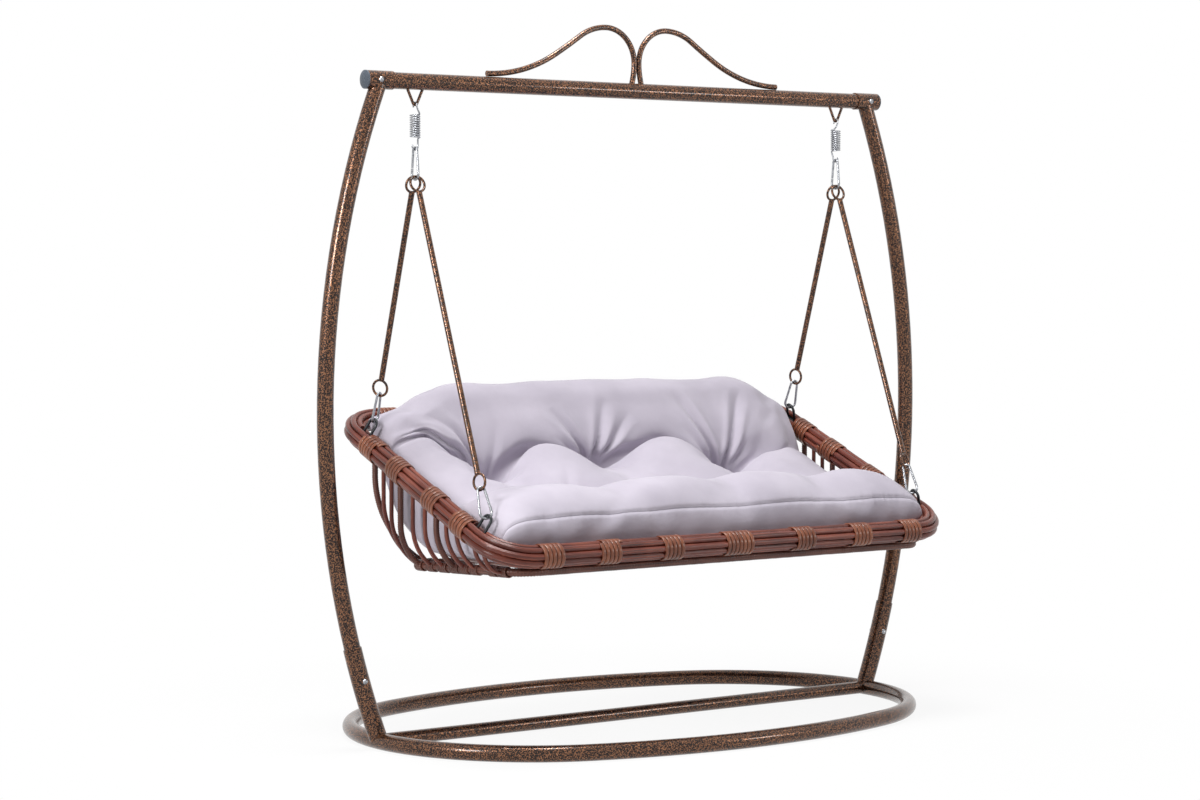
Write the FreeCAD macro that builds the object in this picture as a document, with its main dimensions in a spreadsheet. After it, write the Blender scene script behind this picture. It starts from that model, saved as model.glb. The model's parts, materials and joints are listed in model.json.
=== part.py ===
import FreeCAD, Part
import math
import os
import re

V = FreeCAD.Vector

# Driving dimensions in millimetres, degrees or counts.
# +X is to the right along the bar, -Y is the front, +Z is up, and the floor is at zero.
SIZES = {
    # Stand tubes
    "bar_height": 1800.0,
    "tube_radius": 22.5,
    "tube_wall": 1.5,
    "sleeve_wall": 2.6,
    "slip_gap": 0.15,
    "cross_radius": 18.5,
    "ring_overhang": 12.0,
    "ring_half_depth": 576.0,
    "ring_end_inset": 56.0,
    "upright_inset": 38.0,
    "upright_bow": 173.0,
    "upright_seat_height": 120.0,
    "socket_height": 277.0,
    "hanger_to_sleeve": 73.26,
    "sleeve_length": 82.0,
    # End caps
    "cap_plug": 14.0,
    "cap_flange": 3.0,
    "cap_dome": 5.0,
    "cap_gap": 1.0,
    # Bolts and nuts
    "bolt_radius": 4.0,
    "bolt_hole_gap": 0.3,
    "bolt_head_radius": 7.5,
    "bolt_head_height": 4.5,
    "bolt_tail": 3.0,
    "nut_half_flats": 6.5,
    "nut_height": 6.5,
    "upper_bolt_inset": 35.0,
    "lower_bolt_height": 190.0,
    # Scrolls on the bar
    "scroll_rod_radius": 8.0,
    "scroll_end_reach": 512.0,
    "scroll_knee_reach": 280.0,
    "scroll_knee_rise": 95.0,
    "scroll_knee_slope": 31.0,
    "scroll_peak_reach": 106.0,
    "scroll_peak_rise": 176.0,
    "scroll_meet_gap": 0.4,
    "scroll_meet_rise": 79.0,
    "scroll_foot_reach": 21.0,
    "scroll_foot_slope": 76.0,
    # Hanger eyes under the bar
    "hanger_rod_radius": 4.0,
    "hanger_half_span": 25.0,
    "hanger_drop": 72.0,
    "hanger_bend": 7.0,
    # Tension springs
    "spring_radius": 12.7,
    "spring_wire_radius": 2.3,
    "spring_pitch": 6.2,
    "spring_turns": 10,
    "spring_loop_radius": 9.0,
    "spring_neck": 24.0,
    "spring_tail_angle": 28.65,
    # Snap hooks
    "seat_gap": 0.3,
    "hook_wire_radius": 3.5,
    "hook_length": 86.0,
    "hook_top_radius": 9.6,
    "hook_slack": 0.6,
    "hook_bottom_radius": 16.0,
    "hook_nose": 12.0,
    "hook_shoulder": 6.0,
    "hook_tang_length": 11.0,
    "hook_tang_half_thickness": 1.4,
    "gate_radius": 3.3,
    "gate_slot_half_width": 1.7,
    "gate_end_gap": 1.3,
    "gate_pin_radius": 1.2,
    "gate_pin_clearance": 0.05,
    "left_front_hook_twist": 70.0,
    "right_front_hook_twist": -50.0,
    "left_back_hook_twist": -60.0,
    "right_back_hook_twist": -70.0,
    # Hanging rods
    "rod_radius": 8.0,
    "rod_ring_radius": 22.0,
    "rod_ring_wire_radius": 3.5,
    "rod_pair_gap": 0.4,
    "left_front_ring_turn": -80.0,
    "right_front_ring_turn": -22.0,
    "left_back_ring_turn": -60.0,
    "right_back_ring_turn": 80.0,
    # Rim of the basket
    "rim_half_width": 770.0,
    "rim_front_reach": 455.0,
    "rim_front_height": 545.0,
    "rim_depth": 870.0,
    "rim_tilt": 21.9,
    "rim_corner_radius": 110.0,
    "core_radius": 13.5,
    "core_wall": 1.5,
    "cane_radius": 8.5,
    "cane_circle_radius": 22.7,
    "cane_count": 8,
    "cane_joint_gap": 1.0,
    # Seat eyes on the rim
    "seat_eye_rod_radius": 4.0,
    "seat_eye_reach": 66.0,
    "seat_eye_half_span": 17.0,
    "front_eye_run": 128.0,
    "back_eye_inset": 129.0,
    "eye_notch_half_length": 26.0,
    # Bindings round the rim
    "binding_length": 68.4,
    "wide_binding_length": 91.2,
    "binding_wall": 2.2,
    "binding_gap": 0.4,
    "corner_binding_inset": 148.0,
    # Bottom hoop, ribs and canes
    "hoop_radius": 11.0,
    "hoop_side_inset": 65.0,
    "hoop_front_inset": 19.0,
    "hoop_front_drop": 42.0,
    "hoop_back_inset": 257.2,
    "hoop_back_drop": 63.0,
    "hoop_corner_radius": 70.0,
    "thick_rib_radius": 8.5,
    "thin_rib_radius": 6.0,
    "rib_curve_drop": 114.0,
    "seat_canes_each_side": 6,
    "seat_cane_margin": 117.0,
    "seat_cane_bend": 110.0,
    "cross_cane_radius": 6.0,
    "cross_cane_inset": 65.0,
    # Cushion: its seat's corners are behind and above the front rail
    "cushion_side_inset": 58.0,
    "cushion_floor_gap": 0.3,
    "cushion_toe_inset": 67.0,
    "cushion_seam_inset": 37.0,
    "cushion_seam_rise": 103.0,
    "cushion_row_inset": 315.0,
    "cushion_row_rise": 129.0,
    # Its back's corners are in front of the back rail, and above or below it
    "cushion_fold_inset": 240.2,
    "cushion_fold_rise": -124.5,
    "cushion_brow_inset": 137.2,
    "cushion_brow_rise": 15.5,
    "cushion_top_inset": 34.2,
    "cushion_top_rise": 94.5,
    "cushion_nape_inset": 22.2,
    "cushion_nape_rise": 48.5,
    "cushion_rear_inset": 49.2,
    "cushion_rear_rise": -19.5,
    "cushion_heel_run": 70.0,
    "front_bulge": 18.0,
    "seat_bulge": 40.0,
    "lap_bulge": -14.0,
    "back_bulge": 9.0,
    "brow_bulge": 17.0,
    "top_bulge": 11.0,
    "tuft_radius": 75.0,
    "tuft_depth": 24.0,
    "front_tuft_spread": 370.0,
    "back_tuft_spread": 425.0,
}

# Sizes that follow from the others
FORMULAS = {
    "hang_reach": "rim_half_width - seat_eye_reach * sin(180 / cane_count)",
    "sleeve_reach": "hang_reach + hanger_to_sleeve + sleeve_length",
    "upright_foot_reach": "sleeve_reach - sleeve_length + upright_inset",
    "ring_half_length": "upright_foot_reach + ring_overhang",
    "ring_end_radius": "ring_half_depth - ring_end_inset",
    "back_eye_run": "rim_depth - back_eye_inset",
    "corner_binding_reach": "rim_half_width - corner_binding_inset",
    "hoop_half_width": "rim_half_width - hoop_side_inset",
    "hoop_front_reach": "rim_front_reach - hoop_front_inset",
    "hoop_front_height": "rim_front_height - hoop_front_drop",
    "hoop_back_reach": "rim_depth * cos(rim_tilt) - rim_front_reach - hoop_back_inset",
    "hoop_back_height": "rim_front_height - hoop_back_drop",
    "seat_cane_spacing": "(hoop_half_width - seat_cane_margin) / seat_canes_each_side",
    "cross_cane_half_length": "hoop_half_width - cross_cane_inset",
    "cushion_half_width": "rim_half_width - cushion_side_inset",
}

# Shares of the corner bindings' reach where the front and back bindings sit
RAIL_BINDING_SHARES = (0.365, 0.699, 1.0)
# Shares of the side rail's run, from its front end, where the side bindings sit
SIDE_BINDING_SHARES = (0.222, 0.390, 0.612, 0.775)
# Shares of the same run where the ribs start
THICK_RIB_SHARES = (0.390, 0.612, 0.775)
THIN_RIB_SHARES = (0.105, 0.163, 0.270, 0.330, 0.460, 0.535, 0.670, 0.720)
# Shares of that run between which the rear ribs start, and of the hoop's rear bend between which they end
REAR_RIB_SHARES = (0.612, 0.775)
HOOP_BEND_SHARES = (0.09, 0.82)
# Shares of the back's length and of the floor's length where the cross canes lie
BACK_CROSS_SHARES = (0.22, 0.42, 0.62)
FLOOR_CROSS_SHARES = (0.25, 0.60)
# Cushion cross sections: share of the half width, of the full section kept there and of the back's rise
CUSHION_SECTION_SHARES = ((0.0, 1.0, 1.0), (0.55, 0.985, 0.97), (0.86, 0.90, 0.80), (1.0, 0.60, 0.55))
# Every third seat cane is a thick one
THICK_CANE_STEP = 3
# Stations of a spring's wire nearer than this along it are neighbours
NEIGHBOUR_STATIONS = 3
# Rounds of settling a line on a round eye
SETTLING_STEPS = 6

doc = FreeCAD.newDocument("GardenSwing")
sheet = doc.addObject("Spreadsheet::Sheet", "Sizes")
CELLS = {alias: str(value) for alias, value in SIZES.items()}
CELLS.update((alias, "=" + text) for alias, text in FORMULAS.items())
for row, (alias, text) in enumerate(CELLS.items(), start=1):
    sheet.set(f"A{row}", alias)
    sheet.setAlias(f"B{row}", alias)
    sheet.set(f"B{row}", text)
doc.recompute()
NODES = []


def size(alias):
    """The value of one cell of the sheet."""
    return float(sheet.get(alias))


def bind(obj, links):
    """Tie properties of an object to formulas written in the sheet's own words."""
    for prop, text in links.items():
        obj.setExpression(prop, re.sub(r"[a-z_]+", named_cell, text))
    return obj


def named_cell(match):
    """A word of a formula, led by the sheet's name where it is one of its cells."""
    word = match.group()
    return "Sizes." + word if word in CELLS else word


def node(obj, label):
    """Give an object the label that names its file."""
    obj.Label = label
    NODES.append(obj)
    return obj


def turned(axis):
    """The rotation that brings +Z onto an axis."""
    return FreeCAD.Rotation(V(0, 0, 1), axis)


def unit(vector):
    """A copy of a vector with length one."""
    result = V(vector)
    result.normalize()
    return result


def line(start, end):
    """A straight edge between two points."""
    return Part.LineSegment(start, end).toShape()


def rounded(points, radius):
    """Straight runs through points, joined by tangent arcs."""
    edges = []
    start = points[0]
    for before, corner, after in zip(points, points[1:], points[2:]):
        back = unit(before - corner)
        ahead = unit(after - corner)
        half = back.getAngle(ahead) / 2
        reach = radius / math.tan(half)
        inward = unit(back + ahead)
        middle = corner + inward * (radius / math.sin(half) - radius)
        edges.append(line(start, corner + back * reach))
        edges.append(Part.Arc(corner + back * reach, middle, corner + ahead * reach).toShape())
        start = corner + ahead * reach
    edges.append(line(start, points[-1]))
    return edges


def arc_to(start, heading, end):
    """The arc that leaves a point along a heading and ends at another point."""
    chord = end - start
    along = unit(chord)
    side = heading - along * heading.dot(along)
    if side.Length < Part.Precision.confusion():
        return line(start, end)
    turn = math.atan2(side.Length, heading.dot(along))
    rise = chord.Length / 2 * math.tan(turn / 2)
    return Part.Arc(start, start + chord / 2 + unit(side) * rise, end).toShape()


def biarc(start, heading, end, end_heading):
    """Two tangent arcs between two points with given headings."""
    span = end - start
    both = heading + end_heading
    spread = 2 * (1 - heading.dot(end_heading))
    along = span.dot(both)
    if spread < Part.Precision.confusion():
        reach = span.dot(span) / (4 * span.dot(end_heading))
    else:
        reach = (math.sqrt(along * along + spread * span.dot(span)) - along) / spread
    near = start + heading * reach
    far = end - end_heading * reach
    middle = (near + far) / 2
    return [arc_to(start, heading, middle), arc_to(middle, unit(far - near), end)]


def biarcs(stations):
    """A chain of biarcs through (point, heading) stations."""
    edges = []
    for (start, heading), (end, end_heading) in zip(stations, stations[1:]):
        edges += biarc(start, heading, end, end_heading)
    return edges


def sweep(name, edges, radius):
    """A round bar along edges, whose section radius is a formula of the sheet."""
    spine = doc.addObject("Part::Feature", name + "_spine")
    spine.Shape = Part.Wire(edges)
    section = bind(doc.addObject("Part::Circle", name + "_section"), {"Radius": radius})
    first = spine.Shape.OrderedEdges[0]
    start = first.valueAt(first.FirstParameter)
    heading = first.tangentAt(first.FirstParameter)
    section.Placement = FreeCAD.Placement(start, turned(heading))
    bar = doc.addObject("Part::Sweep", name)
    bar.Sections = [section]
    bar.Spine = (spine, [])
    bar.Solid = True
    return bar


def cylinder(name, radius, length, base, axis):
    """A cylinder with bound radius and length, from a base point along an axis."""
    solid = bind(doc.addObject("Part::Cylinder", name), {"Radius": radius, "Height": length})
    solid.Placement = FreeCAD.Placement(base, turned(axis))
    return solid


def cut(name, base, *tools):
    """Cut tools from a base, one after another."""
    for count, tool in enumerate(tools):
        result = doc.addObject("Part::Cut", f"{name}_cut{count}")
        result.Base = base
        result.Tool = tool
        base = result
    return base


def compound(name, parts):
    """Several solids held together as one object."""
    group = doc.addObject("Part::Compound", name)
    group.Links = parts
    return group


def mirrored(name, source):
    """The left copy of a right-hand object."""
    copy = doc.addObject("Part::Mirroring", name)
    copy.Source = source
    copy.Normal = V(1, 0, 0)
    copy.Base = V(0, 0, 0)
    return copy


def placed(name, shape, placement):
    """A made shape set at its place."""
    copy = doc.addObject("Part::Feature", name)
    copy.Shape = shape.copy()
    copy.Placement = placement
    return copy


def tube(name, edges, radius, bore):
    """A hollow round bar along edges."""
    return cut(name, sweep(name, edges, radius), sweep(name + "_bore", edges, bore))


def pair(name, right):
    """Label a right-hand object and its mirrored left copy as two nodes."""
    node(right, "right_" + name)
    return node(mirrored("left_" + name, right), "left_" + name)


# Stand

BAR_Z = size("bar_height")
TUBE = size("tube_radius")
SLEEVE = TUBE + size("slip_gap") + size("sleeve_wall")
BORE = "tube_radius - tube_wall"
SLEEVE_BORE = "tube_radius + slip_gap"
SLEEVE_OUTER = "tube_radius + slip_gap + sleeve_wall"
ALONG_X = V(1, 0, 0)
DOWN = V(0, 0, -1)
ALONG_Y = V(0, 1, 0)
MID_Z = BAR_Z / 2
BOW_RADIUS = (MID_Z ** 2 + size("upright_bow") ** 2) / (2 * size("upright_bow"))
BOW_CENTRE_X = size("upright_foot_reach") + size("upright_bow") - BOW_RADIUS


def upright_point(height):
    """A point of the right upright's bowed centreline."""
    return V(BOW_CENTRE_X + math.sqrt(BOW_RADIUS ** 2 - (height - MID_Z) ** 2), 0, height)


def upright_arc(low, high):
    """The right upright's centreline between two heights."""
    return [Part.Arc(upright_point(low), upright_point((low + high) / 2), upright_point(high)).toShape()]


def ring_edges():
    """The floor ring's centreline: four tangent arcs."""
    length = size("ring_half_length")
    depth = size("ring_half_depth")
    end = size("ring_end_radius")
    side = ((length - end) ** 2 + depth ** 2 - end ** 2) / (2 * (depth - end))
    meet = math.atan2(side - depth, length - end)
    arcs = ((length - end, 0, end, -meet, meet),
            (0, depth - side, side, meet, math.pi - meet),
            (end - length, 0, end, math.pi - meet, math.pi + meet),
            (0, side - depth, side, math.pi + meet, 2 * math.pi - meet))
    edges = []
    for x, y, radius, first, last in arcs:
        points = [V(x + radius * math.cos(turn), y + radius * math.sin(turn), TUBE)
                  for turn in (first, (first + last) / 2, last)]
        edges.append(Part.Arc(*points).toShape())
    return edges


def make_stand():
    """The floor ring, uprights, bar and what is fixed to them."""
    ring = sweep("ring_outer", ring_edges(), "tube_radius")
    ring_tool = sweep("ring_tool", ring_edges(), "tube_radius + seat_gap")
    ring_bore = sweep("ring_bore", ring_edges(), BORE)
    node(cut("base_ring", ring, ring_bore), "base_ring")

    cross_start = V(-size("ring_half_length"), 0, TUBE)
    cross_length = "2 * ring_half_length"
    cross = cylinder("cross", "cross_radius", cross_length, cross_start, ALONG_X)
    cross_bore = cylinder("cross_bore", "cross_radius - tube_wall", cross_length, cross_start, ALONG_X)
    node(cut("base_crossbar", cross, cross_bore, ring_tool), "base_crossbar")

    bolt_place = upright_point(size("lower_bolt_height"))
    lower_hole = bolt_hole("lower_hole", bolt_place)
    upper_hole = bolt_hole("upper_hole", upper_bolt_place())

    socket_arc = upright_arc(TUBE, size("socket_height"))
    socket = tube("socket", socket_arc, SLEEVE_OUTER, SLEEVE_BORE)
    cross_tool = cylinder("cross_tool", "cross_radius + seat_gap", cross_length, cross_start, ALONG_X)
    pair("foot_socket", cut("foot_socket", socket, ring_tool, cross_tool, lower_hole))

    upright = tube("upright", upright_arc(size("upright_seat_height"), BAR_Z), "tube_radius", BORE)
    bar_start = V(0, 0, BAR_Z)
    saddle_radius = SLEEVE_OUTER + " + seat_gap"
    saddle = cylinder("saddle", saddle_radius, "sleeve_reach + sleeve_length", bar_start, ALONG_X)
    pair("upright", cut("upright", upright, saddle, lower_hole))

    sleeve_start = V(size("sleeve_reach") - size("sleeve_length"), 0, BAR_Z)
    sleeve = cylinder("sleeve", SLEEVE_OUTER, "sleeve_length", sleeve_start, ALONG_X)
    sleeve_bore = cylinder("sleeve_bore", SLEEVE_BORE, "sleeve_length", sleeve_start, ALONG_X)
    pair("top_sleeve", cut("top_sleeve", sleeve, sleeve_bore, upper_hole))

    half_bar = size("sleeve_reach") - size("cap_plug") - size("cap_gap")
    bar_length = "2 * (sleeve_reach - cap_plug - cap_gap)"
    bar = cylinder("bar", "tube_radius", bar_length, V(-half_bar, 0, BAR_Z), ALONG_X)
    bar_bore = cylinder("bar_bore", BORE, bar_length, V(-half_bar, 0, BAR_Z), ALONG_X)
    holes = compound("bar_holes", [upper_hole, mirrored("left_upper_hole", upper_hole)])
    node(cut("top_bar", bar, bar_bore, holes), "top_bar")

    bar_tool = cylinder("bar_tool", "tube_radius + seat_gap", bar_length, V(-half_bar, 0, BAR_Z), ALONG_X)
    pair("scroll", cut("scroll", sweep("scroll_rod", scroll_edges(), "scroll_rod_radius"), bar_tool))
    pair("hanger_eye", cut("hanger_eye", sweep("hanger_rod", hanger_edges(), "hanger_rod_radius"), bar_tool))
    pair("end_cap", make_end_cap())
    make_bolts("upper", upper_bolt_place())
    make_bolts("lower", bolt_place)


def upper_bolt_place():
    """Where the upper bolt's axis crosses the bar's."""
    return V(size("sleeve_reach") - size("upper_bolt_inset"), 0, BAR_Z)


def bolt_hole(name, place):
    """A through hole for a bolt along Y."""
    start = place - ALONG_Y * (SLEEVE + TUBE)
    length = "2 * (tube_radius + slip_gap + sleeve_wall + tube_radius)"
    return cylinder(name, "bolt_radius + bolt_hole_gap", length, start, ALONG_Y)


def scroll_edges():
    """The right scroll's centreline, from its end on the bar to its foot."""
    rod = size("scroll_rod_radius")
    slope = math.radians(size("scroll_knee_slope"))
    foot = math.radians(size("scroll_foot_slope"))
    end = V(size("scroll_end_reach"), 0, BAR_Z + TUBE + rod + size("seat_gap"))
    knee = V(size("scroll_knee_reach"), 0, BAR_Z + size("scroll_knee_rise"))
    peak = V(size("scroll_peak_reach"), 0, BAR_Z + size("scroll_peak_rise"))
    meet = V(rod + size("scroll_meet_gap") / 2, 0, BAR_Z + size("scroll_meet_rise"))
    base = V(size("scroll_foot_reach"), 0, BAR_Z)
    return biarcs([(end, V(-1, 0, 0)),
                   (knee, V(-math.cos(slope), 0, math.sin(slope))),
                   (peak, V(-1, 0, 0)),
                   (meet, DOWN),
                   (base, V(math.cos(foot), 0, -math.sin(foot)))])


def make_end_cap():
    """A domed cap with a plug, turned about the bar's axis."""
    body = doc.addObject("PartDesign::Body", "end_cap")
    sketch = body.newObject("Sketcher::SketchObject", "end_cap_profile")
    sketch.AttachmentSupport = [(origin_plane(body, "XZ_Plane"), "")]
    sketch.MapMode = "FlatFace"
    outer = SLEEVE
    inner = TUBE
    plug = -size("cap_plug")
    flange = size("cap_flange")
    dome = flange + size("cap_dome")
    corners = [V(plug, 0, 0), V(plug, inner, 0), V(0, inner, 0), V(0, outer, 0), V(flange, outer, 0)]
    for start, end in zip(corners, corners[1:]):
        sketch.addGeometry(Part.LineSegment(start, end))
    rise = size("cap_dome")
    radius = (outer ** 2 + rise ** 2) / (2 * rise)
    half = math.asin(outer / radius) / 2
    middle = V(dome - radius + radius * math.cos(half), radius * math.sin(half), 0)
    sketch.addGeometry(Part.Arc(V(flange, outer, 0), middle, V(dome, 0, 0)))
    sketch.addGeometry(Part.LineSegment(V(dome, 0, 0), V(plug, 0, 0)))
    turn = body.newObject("PartDesign::Revolution", "end_cap_turn")
    turn.Profile = sketch
    turn.ReferenceAxis = (sketch, ["H_Axis"])
    body.Placement = FreeCAD.Placement(V(size("sleeve_reach"), 0, BAR_Z), FreeCAD.Rotation())
    return body


def origin_plane(body, role):
    """One of a body's own planes by its role."""
    return next(plane for plane in body.Origin.OriginFeatures if plane.Role == role)


def make_bolts(name, place):
    """A bolt with a domed head at the front and a hexagonal nut at the back, on each side."""
    body = doc.addObject("PartDesign::Body", name + "_bolt")
    sketch = body.newObject("Sketcher::SketchObject", name + "_bolt_profile")
    sketch.AttachmentSupport = [(origin_plane(body, "XZ_Plane"), "")]
    sketch.MapMode = "FlatFace"
    head = size("bolt_head_radius")
    rise = size("bolt_head_height")
    shank = size("bolt_radius")
    tail = 2 * SLEEVE + size("nut_height") + size("bolt_tail")
    radius = (head ** 2 + rise ** 2) / (2 * rise)
    half = math.asin(head / radius) / 2
    middle = V(radius * math.sin(half), -(rise - radius + radius * math.cos(half)), 0)
    sketch.addGeometry(Part.LineSegment(V(0, -rise, 0), V(0, tail, 0)))
    sketch.addGeometry(Part.LineSegment(V(0, tail, 0), V(shank, tail, 0)))
    sketch.addGeometry(Part.LineSegment(V(shank, tail, 0), V(shank, 0, 0)))
    sketch.addGeometry(Part.LineSegment(V(shank, 0, 0), V(head, 0, 0)))
    sketch.addGeometry(Part.Arc(V(head, 0, 0), middle, V(0, -rise, 0)))
    turn = body.newObject("PartDesign::Revolution", name + "_bolt_turn")
    turn.Profile = sketch
    turn.ReferenceAxis = (sketch, ["V_Axis"])
    body.Placement = FreeCAD.Placement(place - ALONG_Y * SLEEVE, turned(ALONG_Y))
    bolts = [body, mirrored(name + "_bolt_left", body)]
    node(compound(name + "_bolts", bolts), name + "_bolts")

    hexagon = doc.addObject("Part::Prism", name + "_nut_hex")
    hexagon.Polygon = 6
    bind(hexagon, {"Circumradius": "nut_half_flats / cos(30)", "Height": "nut_height"})
    hexagon.Placement = FreeCAD.Placement(place + ALONG_Y * SLEEVE, turned(ALONG_Y))
    bore = cylinder(name + "_nut_bore", "bolt_radius + bolt_hole_gap", "nut_height",
                    place + ALONG_Y * SLEEVE, ALONG_Y)
    nut = cut(name + "_nut", hexagon, bore)
    node(compound(name + "_nuts", [nut, mirrored(name + "_nut_left", nut)]), name + "_nuts")


# Hanging gear

TILT = math.radians(size("rim_tilt"))
RIM_BACK = V(0, math.cos(TILT), math.sin(TILT))
RIM_UP = V(0, -math.sin(TILT), math.cos(TILT))
RIM_FRONT = V(0, -size("rim_front_reach"), size("rim_front_height"))
# The seat eyes lean inward through the gap of the cane nearest to the top
EYE_LEAN = math.pi / size("cane_count")
EYE_OUT = RIM_UP * math.cos(EYE_LEAN) - ALONG_X * math.sin(EYE_LEAN)
HANG_X = size("hang_reach")
GAP = size("seat_gap")


def hanger_vertex():
    """The sharp point of the hanger's V before it is bent."""
    return V(HANG_X, 0, BAR_Z - size("hanger_drop"))


def hanger_edges():
    """A V of bent rod with its point down."""
    point = hanger_vertex()
    span = ALONG_X * size("hanger_half_span")
    rise = V(0, 0, size("hanger_drop") - TUBE + size("hanger_rod_radius"))
    return rounded([point - span + rise, point, point + span + rise], size("hanger_bend"))


def hanger_seat():
    """The lowest point of the V's centreline, which the spring hangs on."""
    rise = size("hanger_drop") - TUBE + size("hanger_rod_radius")
    half = math.atan2(size("hanger_half_span"), rise)
    return hanger_vertex() + V(0, 0, size("hanger_bend") * (1 / math.sin(half) - 1))


def spring_stations():
    """Stations of one unbroken wire: upper loop, coil and lower loop, about its own axis."""
    coil = size("spring_radius")
    loop = size("spring_loop_radius")
    pitch = size("spring_pitch")
    neck = size("spring_neck")
    quarter = math.pi / 2
    quarters = int(4 * size("spring_turns"))
    climb = pitch / (2 * math.pi)
    tail = math.radians(size("spring_tail_angle"))
    top = [(V(0, loop * math.cos(turn), loop * math.sin(turn)),
            V(0, -math.sin(turn), math.cos(turn))) for turn in (-tail, 0.0, quarter, math.pi)]
    stations = list(top)
    for count in range(quarters + 1):
        turn = math.pi - count * quarter
        drop = -neck - pitch * count / 4
        heading = unit(V(coil * math.sin(turn), -coil * math.cos(turn), -climb))
        stations.append((V(coil * math.cos(turn), coil * math.sin(turn), drop), heading))
    floor = -2 * neck - pitch * size("spring_turns")
    for turn in (math.pi, 3 * quarter, 2 * math.pi, 2 * math.pi + tail):
        place = V(loop * math.cos(turn), 0, floor + loop * math.sin(turn))
        stations.append((place, V(-math.sin(turn), 0, math.cos(turn))))
    return stations


def least_gap(stations, wire):
    """The least distance between the skins of stretches that aren't neighbours along the wire."""
    points = [point for point, _ in stations]
    nearest = min((points[i] - points[j]).Length
                  for i in range(len(points)) for j in range(i + NEIGHBOUR_STATIONS, len(points)))
    return nearest - 2 * wire


def spring_top():
    """Centre of the spring's upper loop."""
    lift = size("hanger_rod_radius") + size("spring_wire_radius") + GAP - size("spring_loop_radius")
    return hanger_seat() + V(0, 0, lift)


def upper_hook_top():
    """Top of the upper hook's centreline, held in the spring's lower loop."""
    coil = size("spring_pitch") * size("spring_turns")
    low = 2 * size("spring_neck") + coil + size("spring_loop_radius")
    seat = size("spring_wire_radius") + size("hook_wire_radius") + GAP
    return spring_top() + V(0, 0, seat - low)


def hook_sides():
    """Lean of a hook's legs, and the height between its two bow centres."""
    narrow = size("hook_top_radius")
    wide = size("hook_bottom_radius")
    rise = size("hook_length") - narrow - wide
    return math.asin((wide - narrow) / rise), rise


def gate_line():
    """Foot, direction and length of the hook's gate side, in its own YZ plane."""
    lean, rise = hook_sides()
    wide = size("hook_bottom_radius")
    foot = V(0, wide * math.cos(lean), wide * math.sin(lean))
    length = rise * math.cos(lean)
    return foot, V(0, -math.sin(lean), math.cos(lean)), length


def pivot_point():
    """Centre of the gate's pin in the hook's own plane."""
    foot, up, length = gate_line()
    return foot + up * (length - size("hook_shoulder") - size("hook_tang_length") / 2)


def hook_shapes():
    """One snap hook about its lower bow centre: body, gate and pin."""
    lean, rise = hook_sides()
    narrow = size("hook_top_radius")
    wide = size("hook_bottom_radius")
    wire = size("hook_wire_radius")
    foot, up, length = gate_line()
    nose = foot + up * size("hook_nose")
    shoulder = foot + up * (length - size("hook_shoulder"))
    top = V(0, 0, rise)
    gate_top = foot + up * length
    spine_top = V(0, -gate_top.y, gate_top.z)
    spine_foot = V(0, -foot.y, foot.z)
    edges = [line(shoulder, gate_top),
             Part.Arc(gate_top, top + V(0, 0, narrow), spine_top).toShape(),
             line(spine_top, spine_foot),
             Part.Arc(spine_foot, V(0, 0, -wide), foot).toShape(),
             line(foot, nose)]
    section = Part.Wire(Part.makeCircle(wire, shoulder, up))
    body = Part.Wire(edges).makePipeShell([section], True, False)
    thick = size("hook_tang_half_thickness")
    tang = Part.makeBox(2 * thick, 2 * thick, size("hook_tang_length") + wire)
    tang.translate(V(-thick, -thick, -size("hook_tang_length")))
    tang.Placement = FreeCAD.Placement(shoulder, turned(up)).multiply(tang.Placement)
    pin_radius = size("gate_pin_radius")
    gate = size("gate_radius")
    pin_start = pivot_point() - ALONG_X * gate
    pin = Part.makeCylinder(pin_radius, 2 * gate, pin_start, ALONG_X)
    running = pin_radius + size("gate_pin_clearance")
    bore = Part.makeCylinder(running, 4 * gate, pivot_point() - ALONG_X * 2 * gate, ALONG_X)
    body = body.fuse(tang).removeSplitter().cut(bore)
    gap = size("gate_end_gap")
    gate_length = length - size("hook_nose") - size("hook_shoulder") - 2 * gap
    gate_solid = Part.makeCylinder(gate, gate_length, nose + up * gap, up)
    slot = size("gate_slot_half_width")
    deep = size("hook_tang_length") + gap
    slot_box = Part.makeBox(2 * slot, 4 * gate, deep)
    slot_box.translate(V(-slot, -2 * gate, -deep))
    slot_box.Placement = FreeCAD.Placement(shoulder, turned(up)).multiply(slot_box.Placement)
    return body, gate_solid.cut(slot_box).cut(bore), pin


def ring_apex(side):
    """Top of a rod's upper ring centreline, in the lower bow of the upper hook; side is -1 in front."""
    bow = upper_hook_top() - V(0, 0, size("hook_length") - size("hook_bottom_radius"))
    wire = size("rod_ring_wire_radius")
    inner = size("hook_bottom_radius") - size("hook_wire_radius") - wire - GAP
    aside = wire + size("rod_pair_gap") / 2
    return bow + V(0, side * aside, -math.sqrt(inner ** 2 - aside ** 2))


def eye_seat(run, start):
    """Point of a right-hand seat eye's round top where a line from start pulls square to it."""
    rail = RIM_FRONT + ALONG_X * size("rim_half_width") + RIM_BACK * run
    centre = rail + EYE_OUT * (size("seat_eye_reach") - size("seat_eye_half_span"))
    point = rail + EYE_OUT * size("seat_eye_reach")
    for _ in range(SETTLING_STEPS):
        pull = start - point
        flat = RIM_BACK * pull.dot(RIM_BACK) + EYE_OUT * pull.dot(EYE_OUT)
        point = centre + unit(flat) * size("seat_eye_half_span")
    return point


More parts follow.
